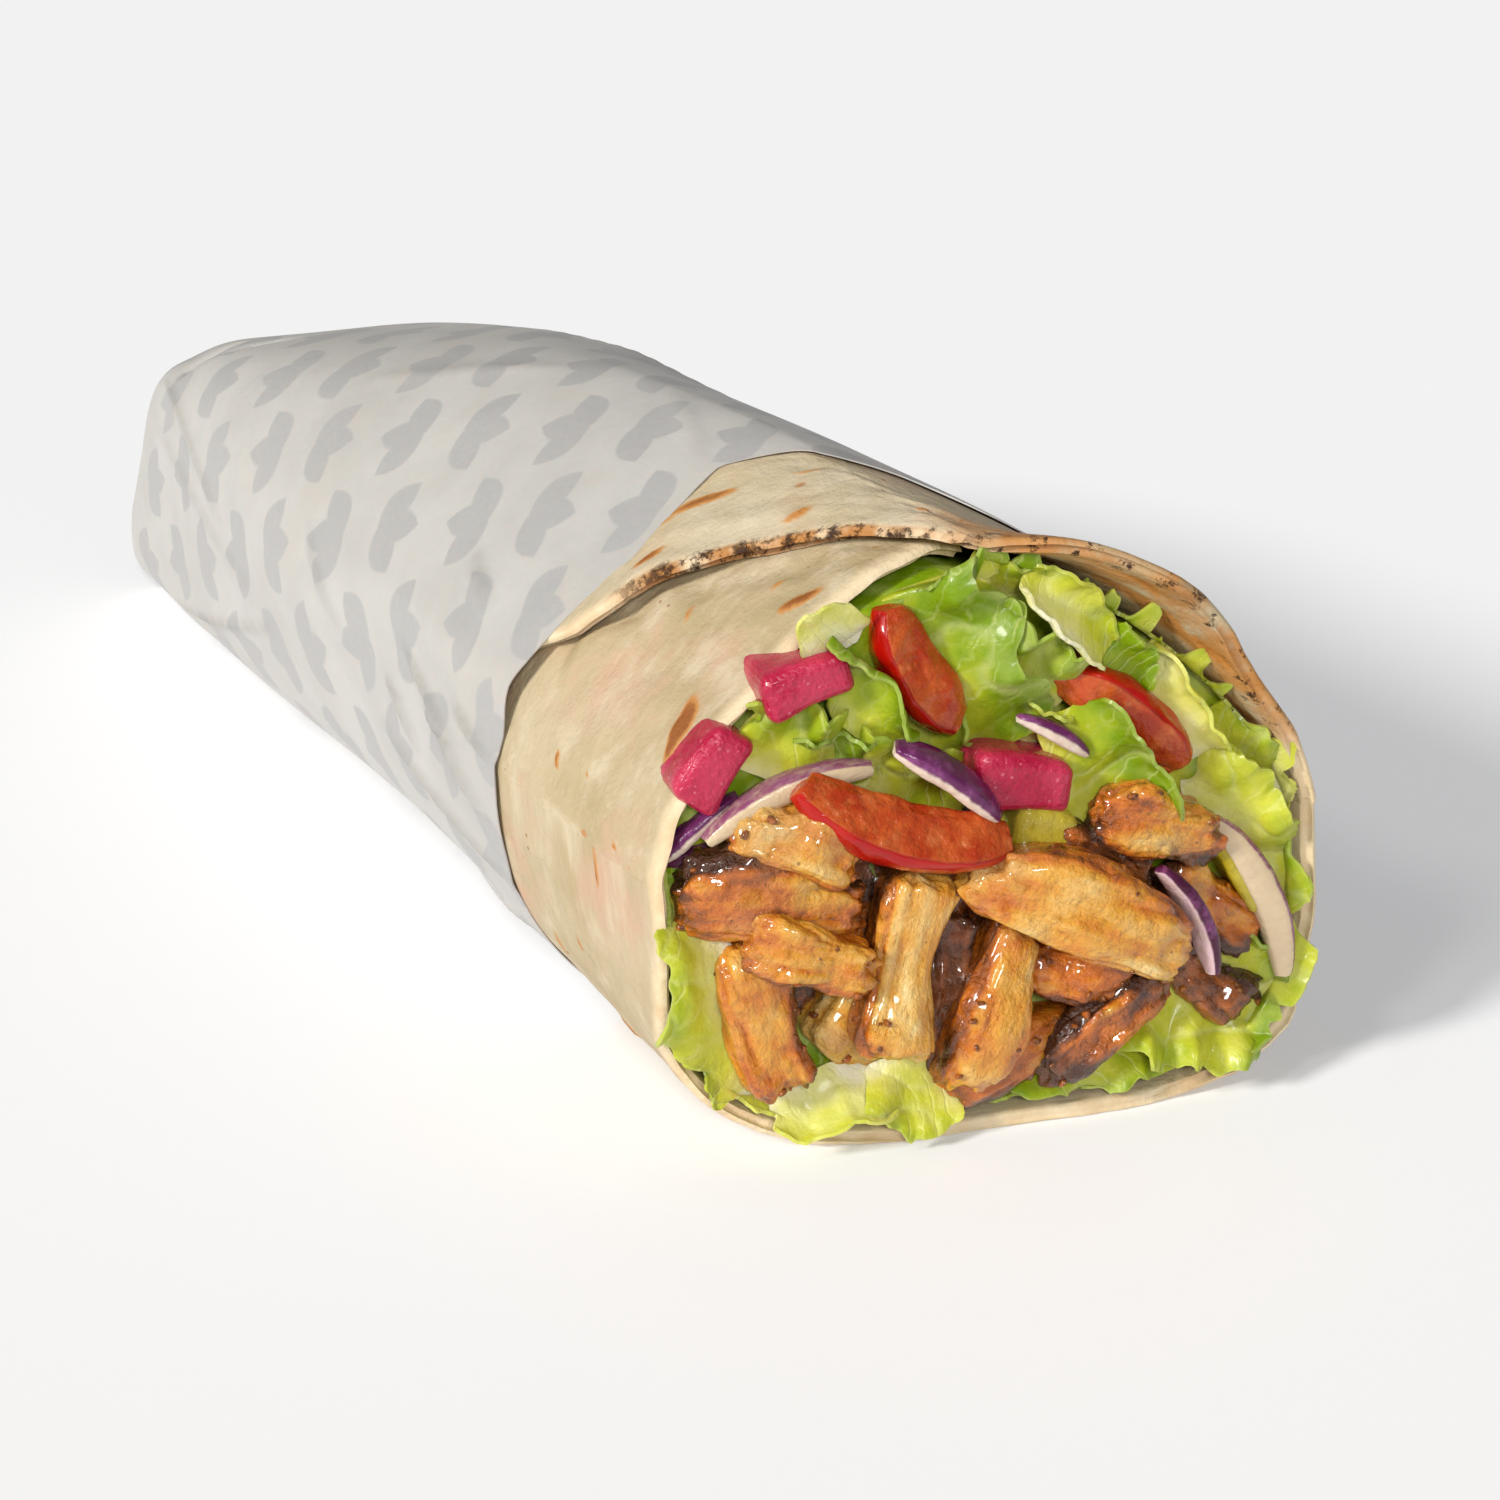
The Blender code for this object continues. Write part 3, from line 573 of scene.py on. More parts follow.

# %% [markdown]
# Where the pan touched it, the bread has toasted blisters: long ovals, darker in the middle. The large
# ones are listed where the real roll has them, as an angle, a station, half lengths round and
# along the roll in mm, a slant and a strength. The rest come from noise in the material.

# %% Toasted places on the bread
BLISTERS = (
    (146, 0.955, 6.2, 1.9, 24, 1.1),
    (120, 0.955, 3.4, 1.2, -20, 0.9),
    (476, 0.805, 6.0, 1.6, -35, 0.8),
    (469, 0.892, 2.8, 1.1, -10, 0.7),
    (488, 0.822, 2.4, 1.0, -20, 0.8),
    (164, 0.846, 1.8, 0.6, 25, 0.9),
    (163, 0.888, 1.0, 0.4, 20, 0.8),
    (173, 0.949, 1.2, 0.6, 10, 0.9),
    (181, 0.921, 1.3, 0.6, 0, 0.9),
    (450, 0.956, 2.2, 1.0, -10, 0.8),
    (215, 0.892, 0.8, 3.4, 0, 0.9),
    (418, 1.025, 3.5, 1.6, 20, 1.0),
    (402, 1.012, 3.0, 1.4, -20, 0.9),
    (428, 0.985, 3.0, 1.2, 10, 0.8),
    (30, 0.975, 3.5, 1.2, 20, 0.9),
    (340, 0.96, 4.0, 1.4, 15, 0.8),
    (370, 0.965, 2.5, 1.0, -15, 0.9),
    (300, 0.93, 3.6, 1.5, 10, 0.7),
    (240, 0.93, 3.0, 1.4, -10, 0.7),
    (205, 0.82, 2.6, 1.0, 15, 0.6),
    (484, 0.790, 5.5, 0.7, -42, 0.6),
    (458, 0.850, 4.0, 0.6, -30, 0.5),
    (411, 0.998, 9.0, 2.4, 0, 0.6),
    (388, 0.990, 6.0, 1.8, 0, 0.5),
    (196, 0.870, 1.6, 0.7, 30, 0.7),
    (131, 0.880, 2.0, 0.6, 35, 0.5),
    (120, 0.925, 1.5, 0.5, 10, 0.5),
)
ragged = relief(flat_place, 3.5 * MM, 12)
toast = np.zeros(len(turn))
for angle, at, half_round, half_along, slant, strength in BLISTERS:
    across = np.radians(turn - angle) * 41
    along = (station - at) * ROLL_LENGTH / MM
    lean = math.radians(slant)
    first = (across * math.cos(lean) + along * math.sin(lean)) / half_round
    second = (along * math.cos(lean) - across * math.sin(lean)) / half_along
    second = second + (0.5 * first**2 - 0.2 if half_round > 3 else 0)
    reach = np.sqrt(first**2 + second**2) + 0.35 * ragged
    toast = np.maximum(toast, strength * (1 - ease(reach, 0.35, 1.10)))
lift = 0.35 * MM * toast
points = corners_of(bread)
middle = outline(station, turn, 0 * turn, 0) * (0, 1, 0) + (0, 0, 38 * MM)
outward = points - middle
outward[:, 1] = 0
outward /= np.linalg.norm(outward, axis=1, keepdims=True)
move_corners(bread, points + outward * lift[:, None] * bare[:, None])
mark(bread, "toast", toast)
mark(bread, "rim", 1 - ease(to_rim, 0, 5 * MM))
mark(bread, "seam", ease(turn, 440, 462) * (1 - ease(turn, 488, 500)))
mark(bread, "outer", ease(turn, 425, 455))
scorched = ease(turn, 376, 394) * (1 - ease(turn, 440, 460)) * (1 - ease(to_rim, 3 * MM, 17 * MM))
mark(bread, "scorch", scorched)
lay_flat(bread, np.radians(turn) * 41 * MM, station * ROLL_LENGTH)
weigh(bread, "fullness", fullness * rounded)
face_away(bread, middle)
thicken(bread, BREAD_THICKNESS, group="fullness")
smooth(bread, 80)
print("blisters placed:", len(BLISTERS))

# %% [markdown]
# The bread's colour is a pale cream with faint pink and tan clouds. On top come the toasted blisters,
# tiny brown flecks, a rim paled with painted light and golden in patches, and black-brown char on the
# free edge over the mouth.

# %% Flatbread finish
bread_finish = Finish("toasted flatbread", 0.62, Subsurface_Weight=0.08, Subsurface_Scale=0.002,
                      Subsurface_Radius=(1.0, 0.7, 0.4), Specular_IOR_Level=0.35)
place = bread_finish.place
stretched = stretch(bread_finish.sheet(), (0.8, 1.0, 1.0))
colour = mottle(place, "#BBAB8B", "#AD9B77", 50.0)
colour = mottle(place, colour, "#C1A085", 75.0, 0.60)
colour = mottle(stretched, colour, "#C7B89B", 150.0, 0.60)
paler = mottle(place, "#CEC2AA", "#BFAE8E", 70.0)
colour = blend(bread_finish.marked("outer") * 0.75, colour, paler)
toasted = bread_finish.marked("toast") * (noise(stretched, 900.0, 4.0) + 0.55)
colour = blend(between(toasted, 0.05, 0.55), colour, "#BC8346")
colour = blend(between(toasted, 0.45, 1.0) * 0.9, colour, "#8A4E20")
colour = blend(speckle(stretched, 170.0, 0.17, 0.22) * 0.75, colour, "#B57A42")
colour = blend(speckle(place, 420.0, 0.16, 0.10) * 0.7, colour, "#8A5A30")
rim_mask = bread_finish.marked("rim")
scorch = bread_finish.marked("scorch")
unscorched = scorch * -1.0 + 1.0
# Painted light: the rim is paled as if its rounded edge caught the lamps, except where it is scorched.
colour = blend(between(rim_mask, 0.25, 1.0) * unscorched * 0.80, colour, "#E8D5B2")
patchy = between(noise(place, 95.0, 4.0, 0.65), 0.42, 0.62)
colour = blend(between(rim_mask, 0.3, 1.0) * patchy * 0.30, colour, "#BC8440")
seam_mask = bread_finish.marked("seam")
browned = seam_mask * between(rim_mask, 0.5, 1.0) * between(noise(place, 160.0, 4.0, 0.6), 0.30, 0.58)
colour = blend(browned * 0.9, colour, "#A96A1E")
scorched = scorch * between(noise(place, 130.0, 4.0, 0.6), 0.36, 0.60)
colour = blend(scorched * 0.85, colour, "#B87A34")
char_noise = noise(place, 420.0, 5.0, 0.7)
charred = seam_mask * between(rim_mask, 0.35, 0.95) * between(char_noise, 0.50, 0.62)
edge_char = scorch * between(rim_mask, 0.05, 0.7) * between(char_noise, 0.56, 0.66)
charred = charred.step("MAXIMUM", edge_char)
bread_finish.to_shader(blend(charred, colour, "#3A2110"), "Base Color")
bread_finish.bump((noise(stretched, 330.0, 4.0), 0.0005), (noise(place, 1500.0, 3.0), 0.00012),
                  (charred, 0.0003))
put_in_place(bread, ["flatbread"], bread_finish.material)

# %% [markdown]
# The paper is a thin waxed sheet rolled round the bread, its far end folded shut. It is wound like the
# bread, with a short lap at the lower right, and its rows run from the folded tail to the cut front
# edge. Folds are long low ridges: some are listed one by one, and the rest come from sharp-crested noise.

# %% Paper sheet
PAPER_COLUMNS = 260
PAPER_ROWS = 178
FOLD_ROWS = 0.14
PAPER_START = 298.0
PAPER_TURN = 386.0
PAPER_THICKNESS = 0.18 * MM
CREASES = (
    (177, 0.573, 185, 0.630, 1.1, 0.9),
    (175, 0.650, 186, 0.745, 1.2, 1.3),
    (164, 0.595, 178, 0.703, 1.0, 1.0),
    (188, 0.560, 198, 0.760, 1.4, 1.2),
    (168, 0.690, 176, 0.765, 0.9, 0.9),
    (142, 0.640, 147, 0.700, 1.0, 0.8),
    (156, 0.413, 171, 0.500, 1.3, 0.7),
    (120, 0.330, 100, 0.520, 2.0, 0.5),
    (70, 0.250, 50, 0.600, 1.8, 0.8),
    (20, 0.300, 5, 0.700, 1.8, 0.9),
    (340, 0.200, 350, 0.600, 1.8, 0.8),
    (205, 0.100, 185, 0.360, 1.6, 0.9),
    (150, 0.020, 175, 0.260, 1.4, 0.8),
    (168, 0.030, 182, 0.330, 1.5, 0.6),
    (240, 0.500, 215, 0.740, 1.6, 0.9),
    (95, 0.650, 110, 0.775, 1.8, 0.4),
    (142, 0.040, 104, 0.028, 0.9, -1.7),
    (124, 0.055, 100, 0.110, 1.0, -0.9),
)

paper, u, v = add_grid("food_paper", PAPER_COLUMNS, PAPER_ROWS)
turn = PAPER_START + PAPER_TURN * u
angle = turn % 360
edge = paper_edge(turn) + 0.0015 * relief_along(turn / 9, 21)
station = np.where(v < FOLD_ROWS, 0, edge * (v - FOLD_ROWS) / (1 - FOLD_ROWS))
seam_end = BREAD_END - 360
slide = ease(angle, seam_end, seam_end + 80 - 64 * ease(station, 0.35, 0.60))
over = np.where(angle <= seam_end, bread_step(angle + 360),
                bread_step(BREAD_END) * (1 - slide) + bread_step(angle) * slide)
lapped = 0.35 * MM * ease(turn, 640, 662)
base = outline(station, turn, over, 0)
crest = 1.1 - np.sqrt(relief(base * (1, 0.45, 1), 26 * MM, 22, 1) ** 2 + 0.012)
folds = 0.60 * crest**5 + 0.40 * relief(base, 22 * MM, 23)
creased = np.zeros(len(turn))
for angle_1, at_1, angle_2, at_2, width, height in CREASES:
    start = np.array((math.radians(angle_1) * 38, at_1 * ROLL_LENGTH / MM))
    run = np.array((math.radians(angle_2 - angle_1) * 38, (at_2 - at_1) * ROLL_LENGTH / MM))
    here = np.stack([np.radians(angle) * 38, station * ROLL_LENGTH / MM], -1) - start
    along = np.clip(here @ run / (run @ run), 0, 1)
    away = np.linalg.norm(here - along[:, None] * run, axis=1)
    taper = np.sin(math.pi * np.clip(along, 0.02, 0.98)) ** 0.5
    folds = folds + 1.25 * height * np.exp(0.35 - np.sqrt((away / width) ** 2 + 0.12)) * taper
    # Beside each crease a mask is kept for painted shade, which the material darkens.
    creased = np.maximum(creased, min(1.0, abs(height)) * np.exp(-((away - 0.5) / 0.7) ** 2) * taper)
front_lift = -0.12 * ease(edge - station, 0.03, 0)
stand_off = 0.65 - 0.3 * ease(station, 0.35, 0.60)
out = over + stand_off * MM + lapped + MM * (np.maximum(folds, -1.6 + 1.6 * (station > 0.13)) + front_lift)
points = outline(station, turn, out, 0.05 * MM)
columns = np.unique(u, return_inverse=True)[1]
rows = np.unique(v, return_inverse=True)[1]
grid = np.zeros((rows.max() + 1, columns.max() + 1, 3))
grid[rows, columns] = outline(station, turn, over, 0)
print("paper folds by hand:", len(CREASES))

# %% [markdown]
# At the tail the paper is folded in like the end of a parcel. The rows behind the tail's rim draw in
# towards its middle, and pleats run across them. One corner at the upper left is pressed down a little.

# %% Folded tail
tail_middle = np.array((0.0, ROLL_LENGTH / 2, TAIL_HALF[1] - SUNK)) + CENTRE
size = np.clip(v / FOLD_ROWS, 0, 1)
pleat = np.abs((angle / 360 * 7 + 0.35 * (1 - size)) % 1 - 0.5) * 2
depth = 1.6 * MM * (1 - size) ** 0.8 + 1.1 * MM * (pleat - 0.5) * np.sin(math.pi * size) * (size < 1)
folded = tail_middle + (points - tail_middle) * size[:, None]
folded[:, 1] += depth * (size < 1)
folded[:, 2] = np.maximum(folded[:, 2], 0.05 * MM)
points = np.where((v < FOLD_ROWS)[:, None], folded, points)
corner_fold = np.exp(-(((angle - 124) / 15) ** 2)) * ease(station, 0.075, 0.02) * (v >= FOLD_ROWS)
points[:, 2] -= 0.8 * MM * corner_fold
move_corners(paper, points)
mark(paper, "crease", creased)
make_active(paper)
edit_all(bpy.ops.mesh.remove_doubles, threshold=0.02 * MM)
print("paper corners after closing the tail:", len(paper.data.vertices))

# %% [markdown]
# The print must follow the paper without stretching, so it is drawn on a UV map in real lengths. For
# each row of the grid, the lengths round the roll are added up from one line at the upper left.

# %% Paper's UV map and thickness
PRINT_CELL = 16.5 * MM
PRINT_LINE = 505

steps_round = np.linalg.norm(np.diff(grid, axis=1), axis=2)
round_length = np.concatenate([np.zeros((len(grid), 1)), np.cumsum(steps_round, axis=1)], axis=1)
line = int(round((PRINT_LINE - PAPER_START) / PAPER_TURN * PAPER_COLUMNS))
round_length -= round_length[:, line:line + 1]
uv_layer = paper.data.uv_layers.active
flat_uv = np.empty(len(paper.data.loops) * 2)
uv_layer.data.foreach_get("uv", flat_uv)
flat_uv = flat_uv.reshape(-1, 2)
loop_column = np.round(flat_uv[:, 0] * PAPER_COLUMNS).astype(int)
loop_row = np.round(flat_uv[:, 1] * PAPER_ROWS).astype(int)
around = round_length[loop_row, loop_column]
fold_part = np.minimum(flat_uv[:, 1] / FOLD_ROWS - 1, 0) * 24 * MM
along = paper_edge(PAPER_START + PAPER_TURN * flat_uv[:, 0]) * ROLL_LENGTH
along = fold_part + along * np.maximum(flat_uv[:, 1] - FOLD_ROWS, 0) / (1 - FOLD_ROWS)
slant = math.radians(24)
print_u = (around * math.cos(slant) + along * math.sin(slant)) / PRINT_CELL
print_v = (along * math.cos(slant) - around * math.sin(slant)) / PRINT_CELL
uv_layer.name = "sheet"
uv_layer.data.foreach_set("uv", np.stack([print_u, print_v], -1).ravel())
paper_points = corners_of(paper)
face_away(paper, paper_points * (0, 1, 0) + (0, 0, 36 * MM))
thicken(paper, PAPER_THICKNESS)
smooth(paper, 65)
print("print cell in mm:", round(PRINT_CELL / MM, 1))

# %% [markdown]
# The paper is off-white and a little waxy. Its print is a pale grey pattern of three-leaf sprigs in a
# half-drop layout, every other one upside down. Each leaf is a broad lens shape with a soft edge.
# The leaf is a node group, which the material uses three times at three angles. Beside its sharp
# creases the paper is darkened with painted shade.

# %% Paper finish
LEAF_LENGTH = 0.58
LEAF_WIDTH = 0.72

LEAF_PRINT, given, result = new_group(
    "printed leaf", ("Mask", "NodeSocketFloat"), Across=0.0, Along=0.0, Angle=0.0)
cosine = given["Angle"].step("COSINE")
sine = given["Angle"].step("SINE")
side = (given["Across"] * cosine + given["Along"] * sine).step("ABSOLUTE")
reach = given["Along"] * cosine - given["Across"] * sine
part = reach.step("DIVIDE", LEAF_LENGTH).step("MAXIMUM", 0.0).step("MINIMUM", 1.0)
width = part * (part * -1.0 + 1.0) * LEAF_WIDTH
result(between(width - side, -0.01, 0.035))

paper_finish = Finish("waxed food paper", 0.42, Subsurface_Weight=0.12, Subsurface_Scale=0.001,
                      Specular_IOR_Level=0.35)
place = paper_finish.place
flat = add_node(paper_finish.tree, "ShaderNodeSeparateXYZ", {0: paper_finish.sheet()})
flat_x, flat_y = Value(flat.outputs[0]), Value(flat.outputs[1])
column = flat_x.step("FLOOR")
dropped = flat_y + column.step("MODULO", 2.0) * 0.5
facing = (column + dropped.step("FLOOR")).step("PINGPONG", 1.0) * 2.0 - 1.0
cell_x = flat_x.step("FRACT") - 0.5
cell_y = (dropped.step("FRACT") - 0.5) * facing + 0.26
printed = column * 0.0
for lean in (-0.9, 0.0, 0.9):
    printed = printed.step("MAXIMUM", use_group(LEAF_PRINT, place, Across=cell_x, Along=cell_y, Angle=lean))
colour = mottle(place, "#BCB9B5", "#B3B0AC", 38.0)
colour = mottle(place, colour, "#BAB4AD", 70.0, 0.62)
colour = blend(printed * 0.92, colour, blend(noise(place, 900.0, 3.0), "#A1A09F", "#ABA9A8"))
# Painted shade: the paper is darkened beside its creases.
colour = blend(paper_finish.marked("crease") * 0.34, colour, "#7C7870")
paper_finish.to_shader(colour, "Base Color")
paper_finish.bump((noise(place, 700.0, 4.0), 0.00006), (noise(place, 90.0, 3.0), 0.0003))
put_in_place(paper, ["paper"], paper_finish.material)

# %% [markdown]
# Everything in the mouth is placed on the mouth's own plane: across to the right, up, and out towards
# the eater, all in mm. A piece is made lying flat at the origin, then turned and moved by one matrix.

# %% Places in the mouth
mouth_across = Vector((1.0, MOUTH_SWING, 0.0)).normalized()
mouth_up = Vector((0.0, MOUTH_LEAN, 1.0))
mouth_up = (mouth_up - mouth_across * mouth_up.dot(mouth_across)).normalized()
mouth_out = mouth_across.cross(mouth_up)
MOUTH_HEIGHT = 38.3
mouth_middle = Vector((0, -ROLL_LENGTH / 2, MOUTH_HEIGHT * MM)) + Vector(CENTRE)


def mouth_place(across, up, out, turn, dip=0.0, roll=0.0):
    """4 by 4 matrix of a place in the mouth, as numpy."""
    offset = across * mouth_across + (up - MOUTH_HEIGHT) * mouth_up + out * mouth_out
    basis = Matrix((mouth_across, mouth_up, mouth_out)).transposed().to_4x4()
    turned = Matrix.Rotation(math.radians(turn), 4, "Z") @ Matrix.Rotation(math.radians(-dip), 4, "Y")
    return np.array(Matrix.Translation(mouth_middle + offset * MM) @ basis @ turned
                    @ Matrix.Rotation(math.radians(roll), 4, "X"))


def moved(points, matrix):
    return points @ matrix[:3, :3].T + matrix[:3, 3]


print("the mouth looks along", [round(value, 2) for value in mouth_out])

# %% [markdown]
# The chicken is cut from a spit: flat strips with long fibres, torn or crusty ends and a wet glaze.
# Each strip starts as a ball that is squared off, bent and given three kinds of relief: grooves along
# the fibres, ragged ends, and crumbs where it is browned. Its tone runs from 0, pale, to 1, dark crust,
# and painted shade raises it in the grooves.

# %% Chicken strips
CHICKEN = (
    (-25, 42.5, 3, 19, 8.5, 8, -27, 4, 0.38, 0.2),
    (-28.5, 35, 0, 27, 11, 10, -5, 6, 0.62, 0.5),
    (-24.5, 28.5, 4, 19, 9, 8, -12, 10, 0.48, 0.3),
    (-29.5, 20, 0, 24, 11, 9, -76, 8, 0.50, 0.3),
    (-11.5, 24.5, 2, 27, 10, 9, -107, 10, 0.28, 0.2),
    (-4.5, 18, -3, 26, 8, 9, -98, 0, 0.84, 1.0),
    (-0.5, 17.5, 1, 25, 9.5, 9, -119, 6, 0.40, 0.3),
    (10.5, 30, 6, 34, 11.5, 9, -26, 6, 0.36, 0.3),
    (22, 38.5, 2, 20, 9, 8, -12, 4, 0.54, 0.8),
    (15, 34.5, -1, 18, 10, 9, -10, 0, 0.80, 0.9),
    (31, 26.5, -1, 18, 9, 8, -40, 0, 0.62, 0.7),
    (30.5, 15.5, -2, 15, 8, 8, -50, 0, 0.80, 0.9),
    (12.5, 19.5, 0, 17, 8.5, 8, -20, 0, 0.62, 0.4),
    (15, 12, 1, 24, 7, 7, 32, 0, 0.72, 0.8),
    (3, 9, -1, 24, 8, 8, 24, 0, 0.64, 0.5),
    (-18, 15, -3, 14, 9, 8, -45, 0, 0.22, 0.3),
)


def chicken_strip(index, length, width, thickness, tone, crust):
    """One strip along x, with marks for its grain, tone and crust."""
    strip, ball = add_ball(f"strip_{index}", 76, 60)
    x, y, z = ball.T
    seed = index + 1
    bend = 0.8 * MM
    around = np.sqrt(y * y + z * z) + 1e-6
    blunt = np.maximum(1 - np.abs(x) ** 4.0, 0) ** (1 / 4.0)
    where = np.stack([x * 1.6, y / around * 0.9, z / around * 0.9], -1)
    fat = 1 + 0.16 * np.sin(3 * x + seed) + 0.20 * relief(where, 1.0, seed + 50, 1)
    shape = np.stack([
        x * length / 2,
        power(y / around, 0.58) * blunt * width / 2 * fat + 0.12 * width * np.sin(2.2 * x + seed),
        power(z / around, 0.50) * blunt * thickness / 2 * fat - bend * x * x,
    ], -1)
    grain = shape / MM * (0.09, 0.5, 0.5)
    ends = ease(np.abs(x), 0.60, 0.98)
    bundle = np.abs(relief(grain * (1, 0.9, 0.9), 1.0, seed + 40, 1)) ** 0.6
    fibre = np.abs(relief(grain * (1.6, 2.2, 2.2), 1.0, seed + 30, 1)) ** 0.7
    lump = relief(shape, 6 * MM, seed + 60)
    crumb = relief(shape, 1.9 * MM, seed + 80, 3)
    brown_side = ease((1 if index % 2 else -1) * y / around, 0.30, 0.90) * min(1, 0.5 + crust)
    depth = 1.05 * (bundle - 0.55) + 0.50 * (fibre - 0.5) + 0.75 * lump + 0.35 * brown_side * crumb
    depth = depth + (0.3 + 0.5 * crust) * ends * crumb + 0.75 * crust * (np.abs(crumb) - 0.2)
    shape = shape + ball * (depth * MM)[:, None]
    torn = 0.5 + 0.5 * relief(grain * (1, 1.2, 1.2), 1.0, seed + 90, 2)
    shape[:, 0] *= 1 - 0.20 * ends * torn
    browned = tone + 0.16 * lump + 0.26 * ends * crust + 0.42 * brown_side
    # Painted shade: the valleys between fibre bundles and between fibres get a higher, darker tone.
    browned = browned - 0.34 * (bundle - 0.5) - 0.16 * (fibre - 0.5) - 0.10
    mark(strip, "grain", grain + 13.0 * seed)
    mark(strip, "tone", browned)
    crusted = crust * (0.40 + 0.5 * crumb) + 0.3 * ends * crust + 0.45 * brown_side
    mark(strip, "crust", np.clip(crusted, 0, 1))
    return strip, shape


strips = []
for index, (across, up, out, length, width, thickness, turn, dip, tone, crust) in enumerate(CHICKEN):
    strip, shape = chicken_strip(index, length * MM, width * MM, thickness * MM, tone, crust)
    move_corners(strip, moved(shape, mouth_place(across, up, out, turn, dip)))
    strips.append(strip)
print("strips:", len(strips))

# %% [markdown]
# Behind the strips the roll is packed with more chicken. Only its front shows, in the gaps, so it is
# one lumpy body with the same marks. Its tone is set dark as painted shade, since little light reaches it.

# %% Packed chicken behind the strips
def packed_body(name, segments, rings, rim, rise, ring_point):
    """A ball drawn into a long body from a bulging front at the mouth back to near the tail."""
    body, ball = add_ball(name, segments, rings)
    degrees = np.degrees(np.arctan2(ball[:, 2], ball[:, 1]))
    depth = np.arccos(np.clip(ball[:, 0], -1, 1)) / math.pi
    front_part = ease(depth, 0, 0.45)
    station = np.where(depth < 0.45, rim, rim - (rim - 0.12) * (depth - 0.45) / 0.4)
    station = np.maximum(station, 0.12)
    ring = ring_point(station, degrees)
    at_rim = ring_point(rim + 0 * station, degrees)
    middle_front = at_rim.mean(axis=0)
    at_tail = ring_point(0.12 + 0 * station, degrees)
    out = np.array(mouth_out)
    spread = np.clip(depth / 0.45, 0, 1)[:, None]
    front = middle_front + (at_rim - middle_front) * spread + out * rise * (1 - spread**2)
    close = np.clip((depth - 0.85) / 0.15, 0, 1)[:, None]
    back = at_tail + (at_tail.mean(axis=0) - at_tail) * close
    points = np.where((depth < 0.45)[:, None], front, np.where((depth > 0.85)[:, None], back, ring))
    return body, points, 1 - front_part


def chicken_ring(station, degrees):
    half_width = outline(station, 0, 0, 0)[:, 0] - CENTRE[0]
    top = outline(station, 90, 0, 0)[:, 2]
    surface = outline(station, degrees, 0, 0)
    x = half_width * 0.8 * power(np.cos(np.radians(degrees)), 0.8)
    z = 0.31 * top + 0.235 * top * power(np.sin(np.radians(degrees)), 0.8)
    swing = MOUTH_SWING * station**2 + TAIL_SWING * (1 - station) ** 3
    lean = MOUTH_LEAN * station**2 + TAIL_LEAN * (1 - station) ** 3
    y = surface[:, 1] + swing * (x - surface[:, 0] + CENTRE[0]) + lean * (z - surface[:, 2])
    return np.stack([x + CENTRE[0], y, z], -1)


packed, points, front_share = packed_body("packed_chicken", 96, 120, 0.972, 3.5 * MM, chicken_ring)
lumps = relief(points, 7 * MM, 71, 3)
points = points + np.array(mouth_out) * (front_share * (2.2 * lumps - 1.4) * MM)[:, None]
move_corners(packed, points)
mark(packed, "grain", points / (2 * MM))
# Painted shade: the packed chicken gets a dark tone because it lies deep in the gaps.
mark(packed, "tone", 0.70 + 0.35 * lumps)
mark(packed, "crust", np.clip(0.5 + lumps, 0, 1))
print("packed chicken ready")

# %% [markdown]
# Bits break off the browned strips and stick to the others. One crumb is made from an ico sphere, and its
# copies are scattered on the strips' front sides, turned and sized at random with a fixed seed.

# %% Crumbs on the chicken
CRUMBS = 110

random = np.random.default_rng(5)
bpy.ops.object.select_all(action="DESELECT")
bpy.ops.mesh.primitive_ico_sphere_add(subdivisions=2, radius=1)
crumb = bpy.context.object
crumb_shape = corners_of(crumb) * (1.0, 0.75, 0.6)
crumb_shape = crumb_shape * (1 + 0.8 * relief(crumb_shape, 0.9, 7))[:, None]
crumbs = []
for index in range(CRUMBS):
    bit = crumb if index == 0 else crumb.copy()
    if index:
        bit.data = crumb.data.copy()
        bpy.context.scene.collection.objects.link(bit)
    bit.name = f"crumb_{index}"
    strip = strips[index % len(strips)]
    spots = corners_of(strip)
    front = np.nonzero((spots - spots.mean(axis=0)) @ np.array(mouth_out) > 1.2 * MM)[0]
    spot = spots[random.choice(front)]
    turned = np.array(Matrix.Rotation(random.uniform(0, 6.28), 3, random.normal(size=3)))
    bit_size = random.uniform(0.30, 0.75) * MM
    move_corners(bit, spot + crumb_shape @ turned.T * bit_size)
    mark(bit, "grain", crumb_shape + index)
    mark(bit, "tone", np.full(len(crumb_shape), random.uniform(0.55, 0.9)))
    mark(bit, "crust", np.full(len(crumb_shape), 0.5))
    crumbs.append(bit)
chicken = join([*strips, packed, *crumbs], "chicken_strips")
smooth(chicken, 70)
print("crumbs:", len(crumbs))

# %% [markdown]
# Cooked chicken is pale inside and golden to orange-brown outside. The tone mark, which also carries
# painted shade in the grooves and in the packed chicken, picks the colour, the grain mark draws fine
# fibres along each strip, and crust darkens it. Oil and juice make it shiny.

